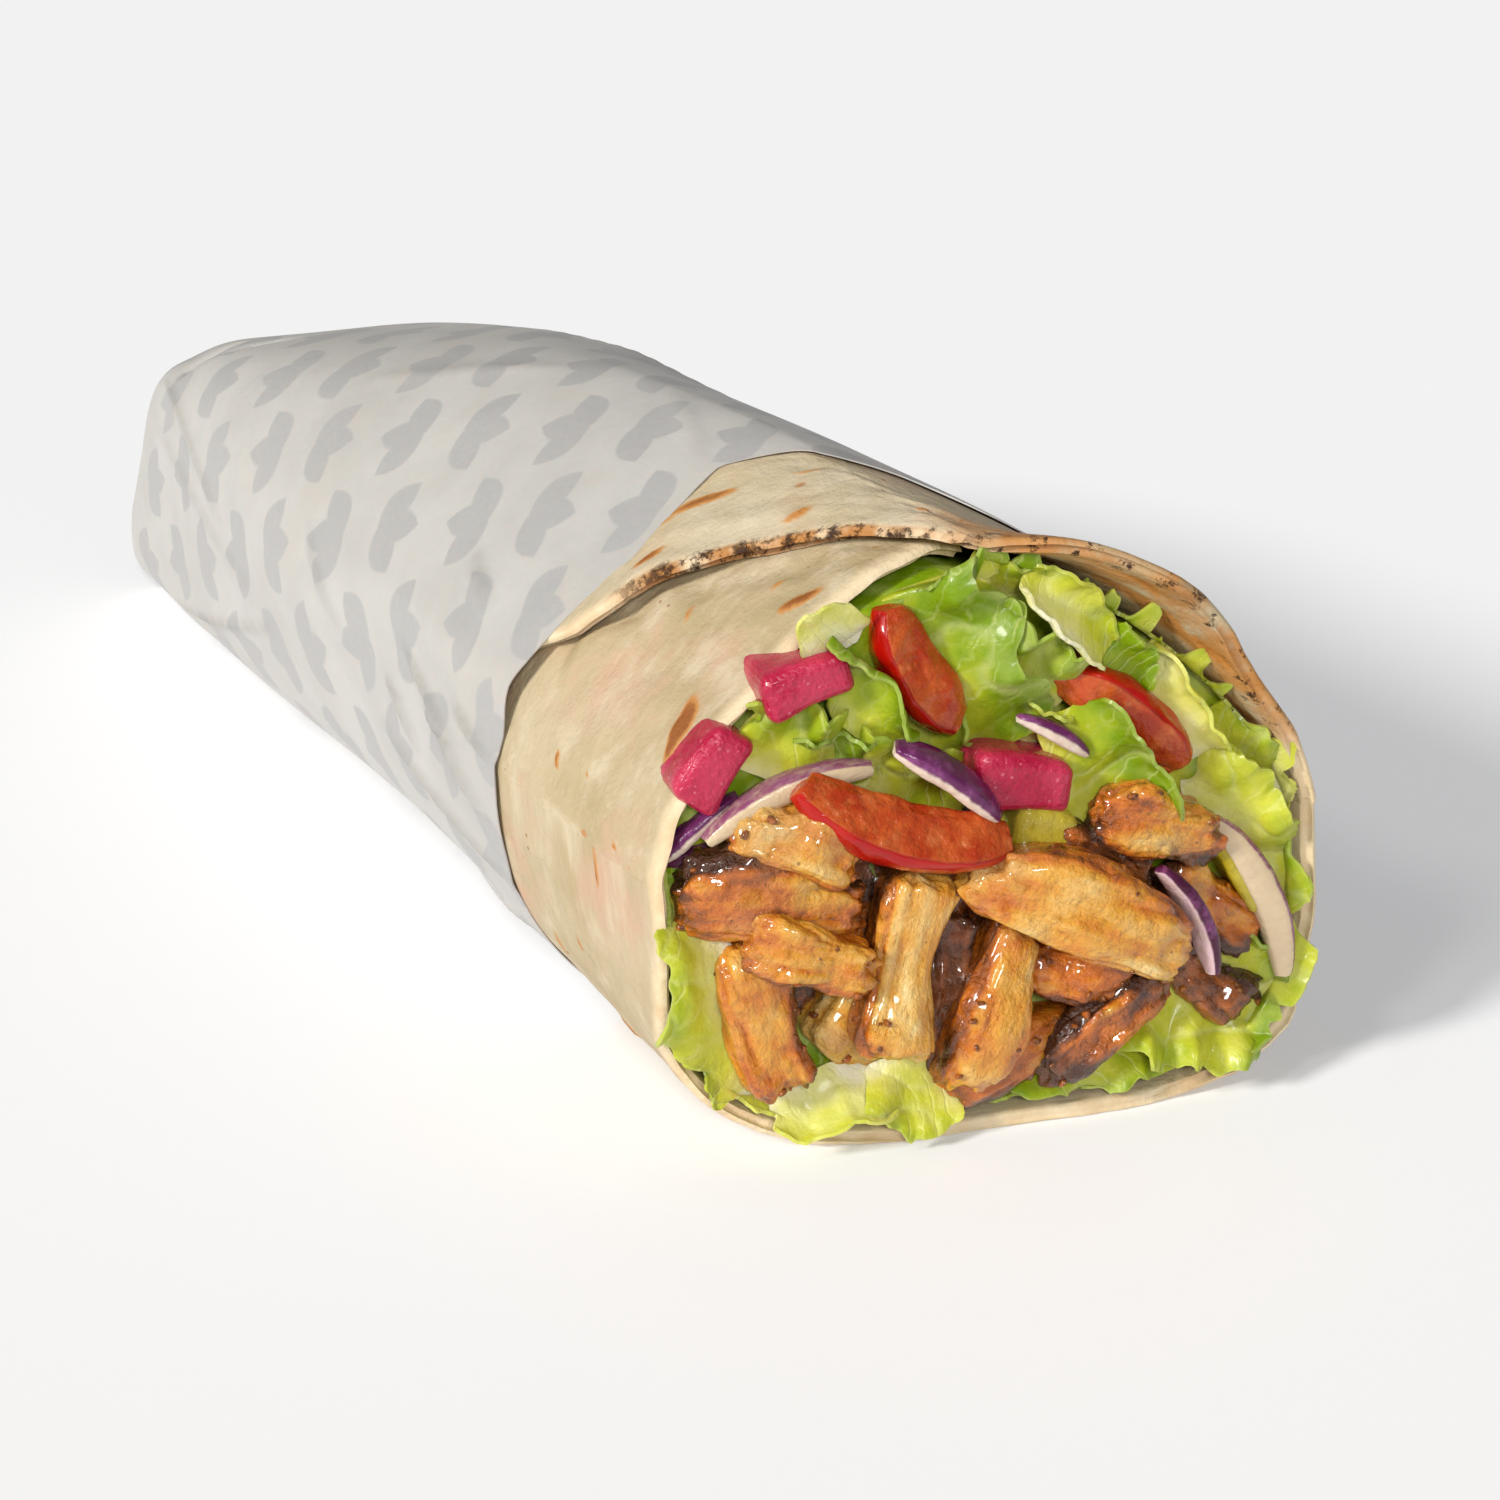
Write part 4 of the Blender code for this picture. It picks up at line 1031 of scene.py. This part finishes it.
# %% Chicken finish
chicken_finish = Finish("wet grilled chicken", 0.40, Subsurface_Weight=0.20, Subsurface_Scale=0.0025,
                        Subsurface_Radius=(1.0, 0.5, 0.25), Specular_IOR_Level=0.38,
                        Coat_Weight=0.80, Coat_Roughness=0.08)
place = chicken_finish.place
grain = chicken_finish.marked("grain", "Vector")
fine_fibres = noise(grain, 3.6, 4.0, 0.7)
shade = chicken_finish.marked("tone") + (noise(place, 170.0, 4.0, 0.6) - 0.5) * 0.80
shade = shade + (noise(grain, 0.45, 3.0, 0.6) - 0.5) * 0.75 + (noise(grain, 1.1, 4.0, 0.65) - 0.5) * 0.35
colour = ramp(shade, ((0.0, "#E8CB88"), (0.10, "#E2B766"), (0.32, "#D6982F"), (0.48, "#CE7F1B"),
                      (0.62, "#BC620E"), (0.75, "#944D10"), (0.88, "#683410"), (1.0, "#43200C")))
colour = blend(between(noise(place, 75.0, 2.0), 0.50, 0.66) * 0.38, colour, "#AE724A")
pale_lines = between(fine_fibres, 0.54, 0.72) * between(shade, 0.70, 0.35)
colour = blend(pale_lines * 0.25, colour, "#E8C274")
crusty = chicken_finish.marked("crust") * between(noise(place, 480.0, 4.0), 0.48, 0.62)
colour = blend(crusty * 0.85, colour, "#4B2815")
colour = blend(speckle(place, 700.0, 0.2, 0.10) * 0.6, colour, "#5A2D12")
chicken_finish.to_shader(colour, "Base Color")
dryness = between(noise(place, 240.0, 3.0), 0.35, 0.65) * -0.26 + 0.42
chicken_finish.to_shader(dryness, "Roughness")
chicken_finish.bump((fine_fibres, 0.00028), (noise(place, 560.0, 3.0), 0.0007),
                    (noise(place, 1500.0, 3.0), 0.00016), (crusty, 0.0004))
put_in_place(chicken, ["chicken"], chicken_finish.material)

# %% [markdown]
# Lettuce is torn into pieces with a stiff pale root side and a thin ruffled green side. A leaf is a grid
# curled across its width, with waves that grow towards its free side, then thickened to half a
# millimetre. It puffs up between its veins, which the absolute value of smooth relief gives: round
# bumps with sharp valleys. Its marks say where the veins are and how green the leaf is. By their height
# in the mouth the leaves go into three pieces, so that no mesh grows too heavy.

# %% Lettuce leaves
MIDDLE_FROM = 36
UPPER_FROM = 58
LEAVES = (
    (-1.8, 63, 0, 28, 15, -63, 30, 50, 2.2, 2, 2, 0.8, -50),
    (-15.2, 60.6, 1.5, 17, 10, -54, 30, 80, 1.5, 1, 2, 0.75, 60),
    (5.2, 62, 0.5, 17, 12, -34, 35, 60, 2.0, 2, 1, 0.6, -40),
    (10.6, 67.2, 1.5, 15, 11, -46, -30, 150, 0.8, 1, 0.5, 0.2, 30),
    (19, 60.6, 1, 10, 7, -66, 30, 120, 1.0, 1, 1, 0.95, -60),
    (25.5, 53.8, 1, 18, 10, -57, 35, 80, 1.2, 1, 2, 0.2, 40),
    (34.5, 46.5, -1, 13, 9, -50, 30, 40, 1.0, 1, 1, 0.4, -30),
    (34.3, 38, 0.5, 19, 12, -57, 30, 50, 1.2, 2, 2, 0.3, -50),
    (17, 45.5, 1.5, 22, 15, -60, 25, 60, 1.8, 1, 2, 0.80, 30),
    (-24, 54.7, -0.5, 23, 12, -24, 20, 50, 1.6, 3, 1, 0.5, -40),
    (-21.5, 68.6, 1.4, 13, 8, 16, 20, 20, 0.5, 1, 0.5, -0.05, 0),
    (-29.5, 59.5, -0.8, 9, 7, -10, 30, 40, 0.7, 1, 1, 0.30, 40),
    (-10, 47.5, -2, 19, 12, -25, 25, 50, 1.5, 2, 1, 0.5, -60),
    (7.5, 52.8, -2, 12, 8, -12, 30, 40, 1.0, 1, 1, 0.35, 30),
    (-36.6, 20.6, 1.6, 27, 14, 100, 24, 40, 2.4, 1, 2, 0.22, -50),
    (-39.5, 32.4, -1.5, 15, 6, 94, 40, 30, 0.8, 1, 1, 0.35, 0),
    (-21, 6.6, 0.8, 16, 10, 181, 35, 40, 1.2, 1, 1, 0.10, 30),
    (-10.4, 6.2, 1.5, 13, 10, 165, 35, 40, 1.2, 1, 1, 0.35, -40),
    (14, 6.5, -0.5, 24, 9, 180, 35, 40, 1.5, 2, 1, 0.5, -50),
    (27, 10, 0.5, 22, 13, 167, 35, 50, 2.0, 3, 1, 0.42, -60),
    (36.5, 17, 0, 12, 8, -55, 30, 30, 1.0, 1, 1, 0.5, 30),
    (4, 71.5, -2, 14, 8, -35, 25, 30, 1.0, 1, 1, 0.4, 0),
    (40.8, 42, 0.1, 17, 8, -80, 22, 40, 1.2, 1, 1, 0.12, -40),
    (41.4, 30, -0.5, 15, 7, -92, 25, 40, 0.8, 1, 1, 0.40, 30),
    (40.4, 17, 0.2, 16, 8, -112, 25, 40, 0.9, 1, 1, 0.25, 0),
    (31, 60.5, -0.2, 15, 8, -50, 22, 50, 1.2, 2, 1, 0.60, -40),
    (8.5, 74.5, -0.6, 17, 7, -20, 20, 40, 1.0, 2, 1, 0.70, 30),
    (-4, 74.0, -2.0, 12, 6, 4, 20, 40, 1.0, 1, 1, 0.35, 0),
    (22.5, 68.0, -1.2, 16, 8, -38, 22, 50, 1.0, 2, 1, 0.35, 30),
    (-31, 9, -2, 12, 6, 148, 25, 40, 1.0, 1, 1, 0.25, 30),
    (1, 4.4, -2, 15, 5, 178, 25, 40, 0.8, 2, 1, 0.40, 0),
    (35.5, 8.6, 0.2, 13, 7, 210, 25, 40, 0.9, 1, 1, 0.45, 30),
    (-2.4, 75.9, 0.3, 12, 6, -8, 20, 30, 0.5, 1, 1, 0.60, 0),
    (-38.5, 14, -2, 12, 6, 118, 25, 40, 1.0, 1, 1, 0.35, 0),
    (-6, 55, -3.4, 15, 9, -60, 20, 60, 1.4, 2, 1, 0.55, 40),
    (-18, 52, -1.0, 13, 8, -10, 20, 50, 1.2, 2, 1, 0.85, 40),
    (28, 47, -1.5, 13, 8, -70, 15, 50, 1.2, 1, 1, 0.75, -30),
)


def lettuce_leaf(index, length, width, curl, ruffle, waves, bow, green, lip):
    """One leaf along x, its ruffled side towards +y and the last part of it rolled over as a lip."""
    leaf, u, v = add_grid(f"leaf_{index}", 66, 38)
    seed = index + 3
    profile = np.linspace(0, 1, 81)
    slope = math.radians(curl) * (profile - 0.5) + math.radians(lip) * ease(profile, 0.62, 1.0)
    run = np.concatenate([[0], np.cumsum(np.cos(slope))[:-1]]) / 80
    climb = np.concatenate([[0], np.cumsum(np.sin(slope))[:-1]]) / 80
    narrow = 0.62 + 0.38 * np.sin(math.pi * u) ** 0.7
    torn = relief_along(u * 6, seed, 3)
    across = width * (np.interp(v, profile, run) - run[40]) * narrow + 0.10 * width * torn * (2 * v - 1)
    rise = width * (np.interp(v, profile, climb) - climb[40]) * narrow
    drift = relief(np.stack([u * 3, v, v * 0], -1), 1.0, seed + 5)
    wave = 2 * math.pi * waves * u + 1.7 * index + 1.2 * drift
    frill = ruffle * v**1.5 * np.sin(wave) + 0.20 * ruffle * v**4 * np.sin(3.3 * wave + index)
    reach = 0.35 * ruffle * v * v * np.cos(1.3 * wave) + 0.16 * ruffle * v**4 * np.cos(3.3 * wave + index)
    along = (u - 0.5) * length * (1 + 0.05 * relief_along(v * 5, seed + 9))
    flat = np.stack([along, across, 0 * along], -1)
    puff = np.abs(relief(flat * (0.85, 1.0, 1.0), 7.5 * MM, seed + 20))
    small_puff = np.abs(relief(flat, 3.0 * MM, seed + 30, 1))
    blister = (1.5 * puff**0.8 + 0.35 * small_puff**0.8 - 0.5) * MM * (0.35 + 0.65 * v)
    shape = np.stack([along, across + reach, rise + frill + blister - bow * (2 * u - 1) ** 2], -1)
    mark(leaf, "leaf", np.stack([2 * u - 1, v, 0 * u + green], -1))
    mark(leaf, "vein", 1 - ease(puff, 0.01, 0.13) + 0.4 * (1 - ease(small_puff, 0.01, 0.12)))
    mark(leaf, "lip", ease(v, 0.93, 1.0))
    return leaf, shape


wall_degrees = np.arange(0, 360, 3.0)
wall_turn = np.where(wall_degrees > BREAD_START, wall_degrees, wall_degrees + 360)
wall = outline(0.985, wall_degrees, bread_step(wall_turn) - BREAD_THICKNESS, BREAD_THICKNESS)
axes = np.array((mouth_across, mouth_up, mouth_out))
wall = (wall - np.array(mouth_middle)) @ axes.T
wall_bearing = np.arctan2(wall[:, 1], wall[:, 0])
wall_radius = np.hypot(wall[:, 0], wall[:, 1])
in_order = np.argsort(wall_bearing)


def inside_bread(points):
    """Draws points that would pierce the bread inwards, unless they stand out over its rim."""
    local = (points - np.array(mouth_middle)) @ axes.T
    bearing = np.arctan2(local[:, 1], local[:, 0])
    radius = np.hypot(local[:, 0], local[:, 1])
    limit = np.interp(bearing, wall_bearing[in_order], wall_radius[in_order], period=2 * math.pi)
    limit = limit - 0.7 * MM + 7 * MM * ease(local[:, 2], 0.3 * MM, 4 * MM)
    shrink = np.minimum(1, limit / np.maximum(radius, 1 * MM))
    local[:, :2] *= shrink[:, None]
    return local @ axes + np.array(mouth_middle)


def make_leaves(rows, first_index):
    made = []
    for index, row in enumerate(rows, first_index):
        across, up, out, length, width, turn, roll, curl, ruffle, waves, bow, green, lip = row
        leaf, shape = lettuce_leaf(
            index, length * MM, width * MM, curl, ruffle * MM, waves, bow * MM, green, lip)
        placed = inside_bread(moved(shape, mouth_place(across, up, out, turn, 0, roll)))
        placed[:, 2] = np.maximum(placed[:, 2], 0.4 * MM)
        move_corners(leaf, placed)
        thicken(leaf, 0.5 * MM, 0.0)
        made.append(leaf)
    return made


ABOVE = [row for row in LEAVES if row[1] > MIDDLE_FROM]
LOWER_LEAVES = [row for row in LEAVES if row[1] <= MIDDLE_FROM]
above = make_leaves(ABOVE, 0)
upper_leaves = [leaf for leaf, row in zip(above, ABOVE) if row[1] > UPPER_FROM]
middle_leaves = [leaf for leaf, row in zip(above, ABOVE) if row[1] <= UPPER_FROM]
lower_leaves = make_leaves(LOWER_LEAVES, len(ABOVE))
print("leaves in the three pieces:", len(upper_leaves), len(middle_leaves), len(lower_leaves))

# %% [markdown]
# Between the leaves the roll is packed with more lettuce, which shows as folds in shadow. It fills the
# bread's inside, and sharp-crested noise gives its front the look of crumpled leaves.

# %% Packed lettuce behind the leaves
def lettuce_ring(station, degrees):
    degrees = degrees % 360
    turn = np.where(degrees > BREAD_START, degrees, degrees + 360)
    towards = np.where(degrees <= BREAD_START, ease(degrees, 40, BREAD_START - 6), 0)
    step = bread_step(turn) * (1 - towards) + bread_step(BREAD_START) * towards
    floor_height = BREAD_THICKNESS + PAPER_REACH + 0.6 * MM
    return outline(station, degrees, step - BREAD_THICKNESS - 0.7 * MM, floor_height)


packed, points, front_share = packed_body("packed_lettuce", 110, 130, 0.99, -2.5 * MM, lettuce_ring)
crest = 1 - np.abs(relief(points * (1, 1, 0.6), 9 * MM, 75, 2))
fold = 5.0 * crest**3 - 3.4
points = points + np.array(mouth_out) * (front_share * fold * MM)[:, None]
move_corners(packed, points)
mark(packed, "leaf", np.stack([relief(points, 12 * MM, 76), 0.5 + 0.4 * relief(points, 8 * MM, 77),
                               0.80 + 0.3 * relief(points, 14 * MM, 78)], -1))
mark(packed, "vein", ease(crest, 0.88, 0.98))
mark(packed, "lip", 0 * front_share)
lettuce_pieces = [join(upper_leaves, "upper_lettuce_leaves"), join(middle_leaves, "middle_lettuce_leaves"),
                  join([*lower_leaves, packed], "lower_lettuce_leaves")]
for piece in lettuce_pieces:
    smooth(piece, 80)
print("packed lettuce joined to the lower leaves")

# %% [markdown]
# A lettuce leaf goes from nearly white at its root to a fresh yellow-green at its free side, with pale
# veins in its valleys. Fine veins fan out along the leaf: the noise bends them and lets them fade.
# Light passes through the leaf, which the shader's subsurface gives.

# %% Lettuce finish
lettuce_finish = Finish("crisp lettuce", 0.40, Subsurface_Weight=0.35, Subsurface_Scale=0.003,
                        Subsurface_Radius=(0.9, 1.0, 0.2), Specular_IOR_Level=0.25,
                        Coat_Weight=0.16, Coat_Roughness=0.14)
place = lettuce_finish.place
leaf_mark = lettuce_finish.marked("leaf", "Vector")
leaf_mark = add_node(lettuce_finish.tree, "ShaderNodeSeparateXYZ", {0: leaf_mark})
along, across, green = (Value(output) for output in leaf_mark.outputs)
greenness = across * 0.50 + green * 0.85 + (noise(place, 110.0, 3.0) - 0.5) * 1.1
colour = ramp(greenness, ((0.10, "#EFEBC2"), (0.34, "#DEDB80"), (0.56, "#C4C63A"), (0.78, "#A0AE1E"),
                          (1.05, "#74920C")))
fan = along * 3.2 + across * 1.8 + noise(place, 150.0, 3.0) * 2.2
fine_veins = between(fan.step("PINGPONG", 0.5), 0.13, 0.0) * between(noise(place, 95.0, 2.0), 0.36, 0.62)
pale = (lettuce_finish.marked("vein") * 0.26).step("MAXIMUM", lettuce_finish.marked("lip") * 0.16)
pale = pale.step("MAXIMUM", fine_veins * 0.30)
lettuce_finish.to_shader(blend(pale, colour, "#DFE39A"), "Base Color")
lettuce_finish.bump((noise(place, 420.0, 3.0), 0.0003), (noise(place, 1400.0, 2.0), 0.0001),
                    (fine_veins, -0.00006))
for piece in lettuce_pieces:
    put_in_place(piece, ["lettuce"], lettuce_finish.material)

# %% [markdown]
# Tomato wedges and onion strips are both curved slices, so one helper makes them: a cube is subdivided,
# bent along an arc, thinned towards its inner side or its ends, and its edges are softened. A mark says
# how near each corner is to the skin on the outer side.

# %% Curved slices
SLICE_SEED = 30
TOMATOES = (
    ("tomato_1", -12.5, 43.0, 5.0, 29, 8.5, 8, -38, -22, -20, 0.6),
    ("tomato_2", -8.4, 61.8, -0.5, 18, 8, 7, 26, 118, 10, 0.5),
    ("tomato_3", 19.6, 53.2, 0.2, 21, 7.5, 7, 40, -42, 10, 0.5),
    ("tomato_4", 12.2, 58.6, -0.8, 10, 6, 6, 26, -50, 10, 0.4),
)
ONIONS = (
    ("onion_1", -26.0, 49.0, 0.5, 23, 3.4, 5.0, 30, 18, 0, 0.0),
    ("onion_2", -36.3, 45.2, -2.0, 12, 2.4, 5.0, 26, 36, 0, 0.0),
    ("onion_3", -36.2, 41.2, -3.5, 9, 2.6, 6.0, 14, 5, 0, 0.0),
    ("onion_4", -5.5, 49.5, 5.0, 17, 3.2, 5.0, 32, -39, 25, 0.0),
    ("onion_5", 9.0, 52.4, 1.6, 11, 2.4, 3.0, 26, -33, 0, 0.0),
    ("onion_6", 25.8, 27.6, 6.5, 17, 2.6, 4.0, 22, -65, -20, 0.0),
    ("onion_7", 37.0, 27.6, 1.8, 25, 4.6, 3.6, 34, -66, 0, 0.0),
)


def curved_slice(name, length, width, thickness, radius, taper, wedge, seed, rough):
    """A slice along x that curves in its own plane, its skin towards +y."""
    piece = add_basic(bpy.ops.mesh.primitive_cube_add, name, size=2)
    edit_all(bpy.ops.mesh.subdivide, number_cuts=7)
    apply_modifier(piece, "SUBSURF", subdivision_type="SIMPLE", levels=2, render_levels=2)
    x, y, z = corners_of(piece).T
    ends = 1 - taper * np.abs(x) ** 3
    swing = length / 2 * x / radius
    side = y * width / 2 * ends * (1 - 0.10 * z * z * np.abs(y))
    thick = thickness / 2 * ends * (1 - wedge * (1 - y) / 2)
    soften = 1 - 0.16 * (y * z) ** 2 * np.maximum(np.abs(y), np.abs(z))
    shape = np.stack([
        np.sin(swing) * (radius + side * soften) * (1 - 0.02 * np.abs(y * z)),
        np.cos(swing) * (radius + side * soften) - radius,
        z * thick * soften,
    ], -1)
    wobble = relief(shape, 5 * MM, seed) * 0.5 + relief(shape, 1.6 * MM, seed + 5) * 0.2
    push = np.stack([x * (np.abs(x) > 0.98), y, z], -1)
    shape = shape + push * wobble[:, None] * rough
    mark(piece, "skin", y)
    return piece, shape


def make_slices(rows, taper, rough):
    """A slice for each row, put in its place. A negative radius bends it the other way."""
    made = []
    for seed, (name, across, up, out, *sizes, turn, roll, wedge) in enumerate(rows, SLICE_SEED):
        length, width, thick, radius = (size * MM for size in sizes)
        piece, shape = curved_slice(
            f"{name}_slice", length, width, thick, abs(radius), taper, wedge, seed, rough)
        if radius < 0:
            shape = shape * (1, -1, -1)
        move_corners(piece, moved(shape, mouth_place(across, up, out, turn, 0, roll)))
        smooth(piece, 50)
        made.append((name, piece))
    return made


tomato_slices = make_slices(TOMATOES, 0.5, 1.0 * MM)
onion_slices = make_slices(ONIONS, 0.5, 0.25 * MM)
print("slices:", [name for name, piece in tomato_slices + onion_slices])

# %% [markdown]
# Tomato has a smooth deep red skin on its outer side. Its cut faces are paler, orange-pink and grainy,
# with a wet shine all over.

# %% Tomato finish
tomato_finish = Finish("wet tomato", 0.26, Subsurface_Weight=0.25, Subsurface_Scale=0.003,
                       Subsurface_Radius=(1.0, 0.25, 0.12), Specular_IOR_Level=0.25,
                       Coat_Weight=0.4, Coat_Roughness=0.06)
place = tomato_finish.place
skin = between(tomato_finish.marked("skin"), 0.72, 0.96)
flesh = mottle(place, "#AC3410", "#C25A24", 190.0, 0.52)
flesh = mottle(place, flesh, "#C86E3A", 420.0, 0.64)
tomato_finish.to_shader(blend(skin, flesh, mottle(place, "#A20604", "#B61408", 90.0)), "Base Color")
tomato_finish.bump((noise(place, 650.0, 3.0) * (skin * -1.0 + 1.0), 0.0006))
for name, piece in tomato_slices:
    put_in_place(piece, [name], tomato_finish.material)

# %% [markdown]
# Red onion is white and glassy with fine lines along it, and a purple skin along its outer side. The
# darker strips show mostly skin, so a mark would not be enough: they get a finish of their own.

# %% Onion finishes
def onion_finish(name, purple_from, flesh_text, purple_text):
    """White onion with its purple skin from the given place on, -1 being the inner side."""
    finish = Finish(name, 0.26, Subsurface_Weight=0.3, Subsurface_Scale=0.003,
                    Subsurface_Radius=(1.0, 0.8, 0.9), Specular_IOR_Level=0.3,
                    Coat_Weight=0.3, Coat_Roughness=0.1)
    lines = noise(stretch(finish.place, (0.5, 1, 1)), 900.0, 3.0)
    flesh = blend(lines, flesh_text, "#CDB498")
    skin = finish.marked("skin") + (lines - 0.5) * 0.5
    dark = mottle(finish.place, purple_text, "#8E4A80", 300.0, 0.6)
    finish.to_shader(blend(between(skin, purple_from, purple_from + 0.35), flesh, dark), "Base Color")
    finish.bump((lines, 0.0003))
    return finish.material


pale_onion = onion_finish("pale red onion", 0.72, "#D6C29C", "#8A4A6C")
skinned_onion = onion_finish("red onion with skin", -0.1, "#E6D6CC", "#5F1F52")
dark_onion = onion_finish("dark red onion", -0.9, "#CDA9C0", "#4A1232")
ONION_LOOKS = (pale_onion, skinned_onion, dark_onion, skinned_onion, skinned_onion, dark_onion, pale_onion)
for (name, piece), look in zip(onion_slices, ONION_LOOKS):
    put_in_place(piece, [name], look)

# %% [markdown]
# The pickles are cut batons. Each is a cube with beveled edges, subdivided so that its faces can carry
# a slight wobble. Turnip is dyed bright pink by its brine, and cucumber turns olive and glassy.

# %% Pickled batons
PICKLE_SEED = 50
PICKLES = (
    ("turnip_1", -22.7, 62.2, -3.0, 11.5, 6.0, 13, 15),
    ("turnip_2", -34.2, 52.4, -4.5, 11.0, 6.5, 12, 53),
    ("turnip_3", 4.2, 46.2, -2.0, 13.0, 7.5, 12, -10),
    ("cucumber_1", 7.0, 38.6, -1.0, 8.5, 8.0, 9, -12),
    ("cucumber_2", 33.4, 30.2, -1.0, 11.5, 2.4, 8, -62),
)


def baton(name, length, width, depth, seed):
    """A cut baton with soft edges and slightly uneven faces, a little bowed and narrower at one end."""
    piece = add_basic(bpy.ops.mesh.primitive_cube_add, name, size=1)
    move_corners(piece, corners_of(piece) * (length, width, depth))
    apply_modifier(piece, "BEVEL", width=min(1.6 * MM, 0.4 * width), segments=4)
    edit_all(bpy.ops.mesh.subdivide, number_cuts=9)
    shape = corners_of(piece)
    away = (shape / np.array((length, width, depth)) * 2) ** 5
    along = shape[:, 0] / length
    shape[:, 1] = shape[:, 1] * (1 - 0.24 * along) + 0.09 * width * (1 - 4 * along * along)
    away = away / np.maximum(np.linalg.norm(away, axis=1, keepdims=True), 0.05)
    uneven = 0.22 * relief(shape, 6 * MM, seed) + 0.09 * relief(shape, 1.3 * MM, seed + 3)
    return piece, shape + away * (uneven * MM)[:, None]


batons = []
for seed, (name, across, up, out, length, width, depth, turn) in enumerate(PICKLES, PICKLE_SEED):
    piece, shape = baton(f"{name}_baton", length * MM, width * MM, depth * MM, seed)
    move_corners(piece, moved(shape, mouth_place(across, up, out, turn)))
    smooth(piece, 45)
    batons.append((name, piece))

turnip_finish = Finish("pink pickled turnip", 0.26, Subsurface_Weight=0.25, Subsurface_Scale=0.003,
                       Subsurface_Radius=(1.0, 0.2, 0.4), Specular_IOR_Level=0.3,
                       Coat_Weight=0.4, Coat_Roughness=0.12)
place = turnip_finish.place
colour = mottle(place, "#A80A38", "#C02E50", 160.0)
colour = blend(speckle(place, 900.0, 0.25, 0.25) * 0.35, colour, "#E08A94")
turnip_finish.to_shader(colour, "Base Color")
turnip_finish.bump((noise(place, 1100.0, 3.0), 0.0004))

cucumber_finish = Finish("olive pickled cucumber", 0.24, Subsurface_Weight=0.35, Subsurface_Scale=0.004,
                         Subsurface_Radius=(0.9, 1.0, 0.3), Specular_IOR_Level=0.3,
                         Coat_Weight=0.4, Coat_Roughness=0.1)
place = cucumber_finish.place
cucumber_finish.to_shader(mottle(place, "#AE9A14", "#BCAA3E", 150.0), "Base Color")
cucumber_finish.bump((noise(place, 700.0, 3.0), 0.0004))

for name, piece in batons:
    slot = name.split("_")[0]
    finish = turnip_finish if slot == "turnip" else cucumber_finish
    put_in_place(piece, [name], finish.material)
print("batons:", [name for name, piece in batons])
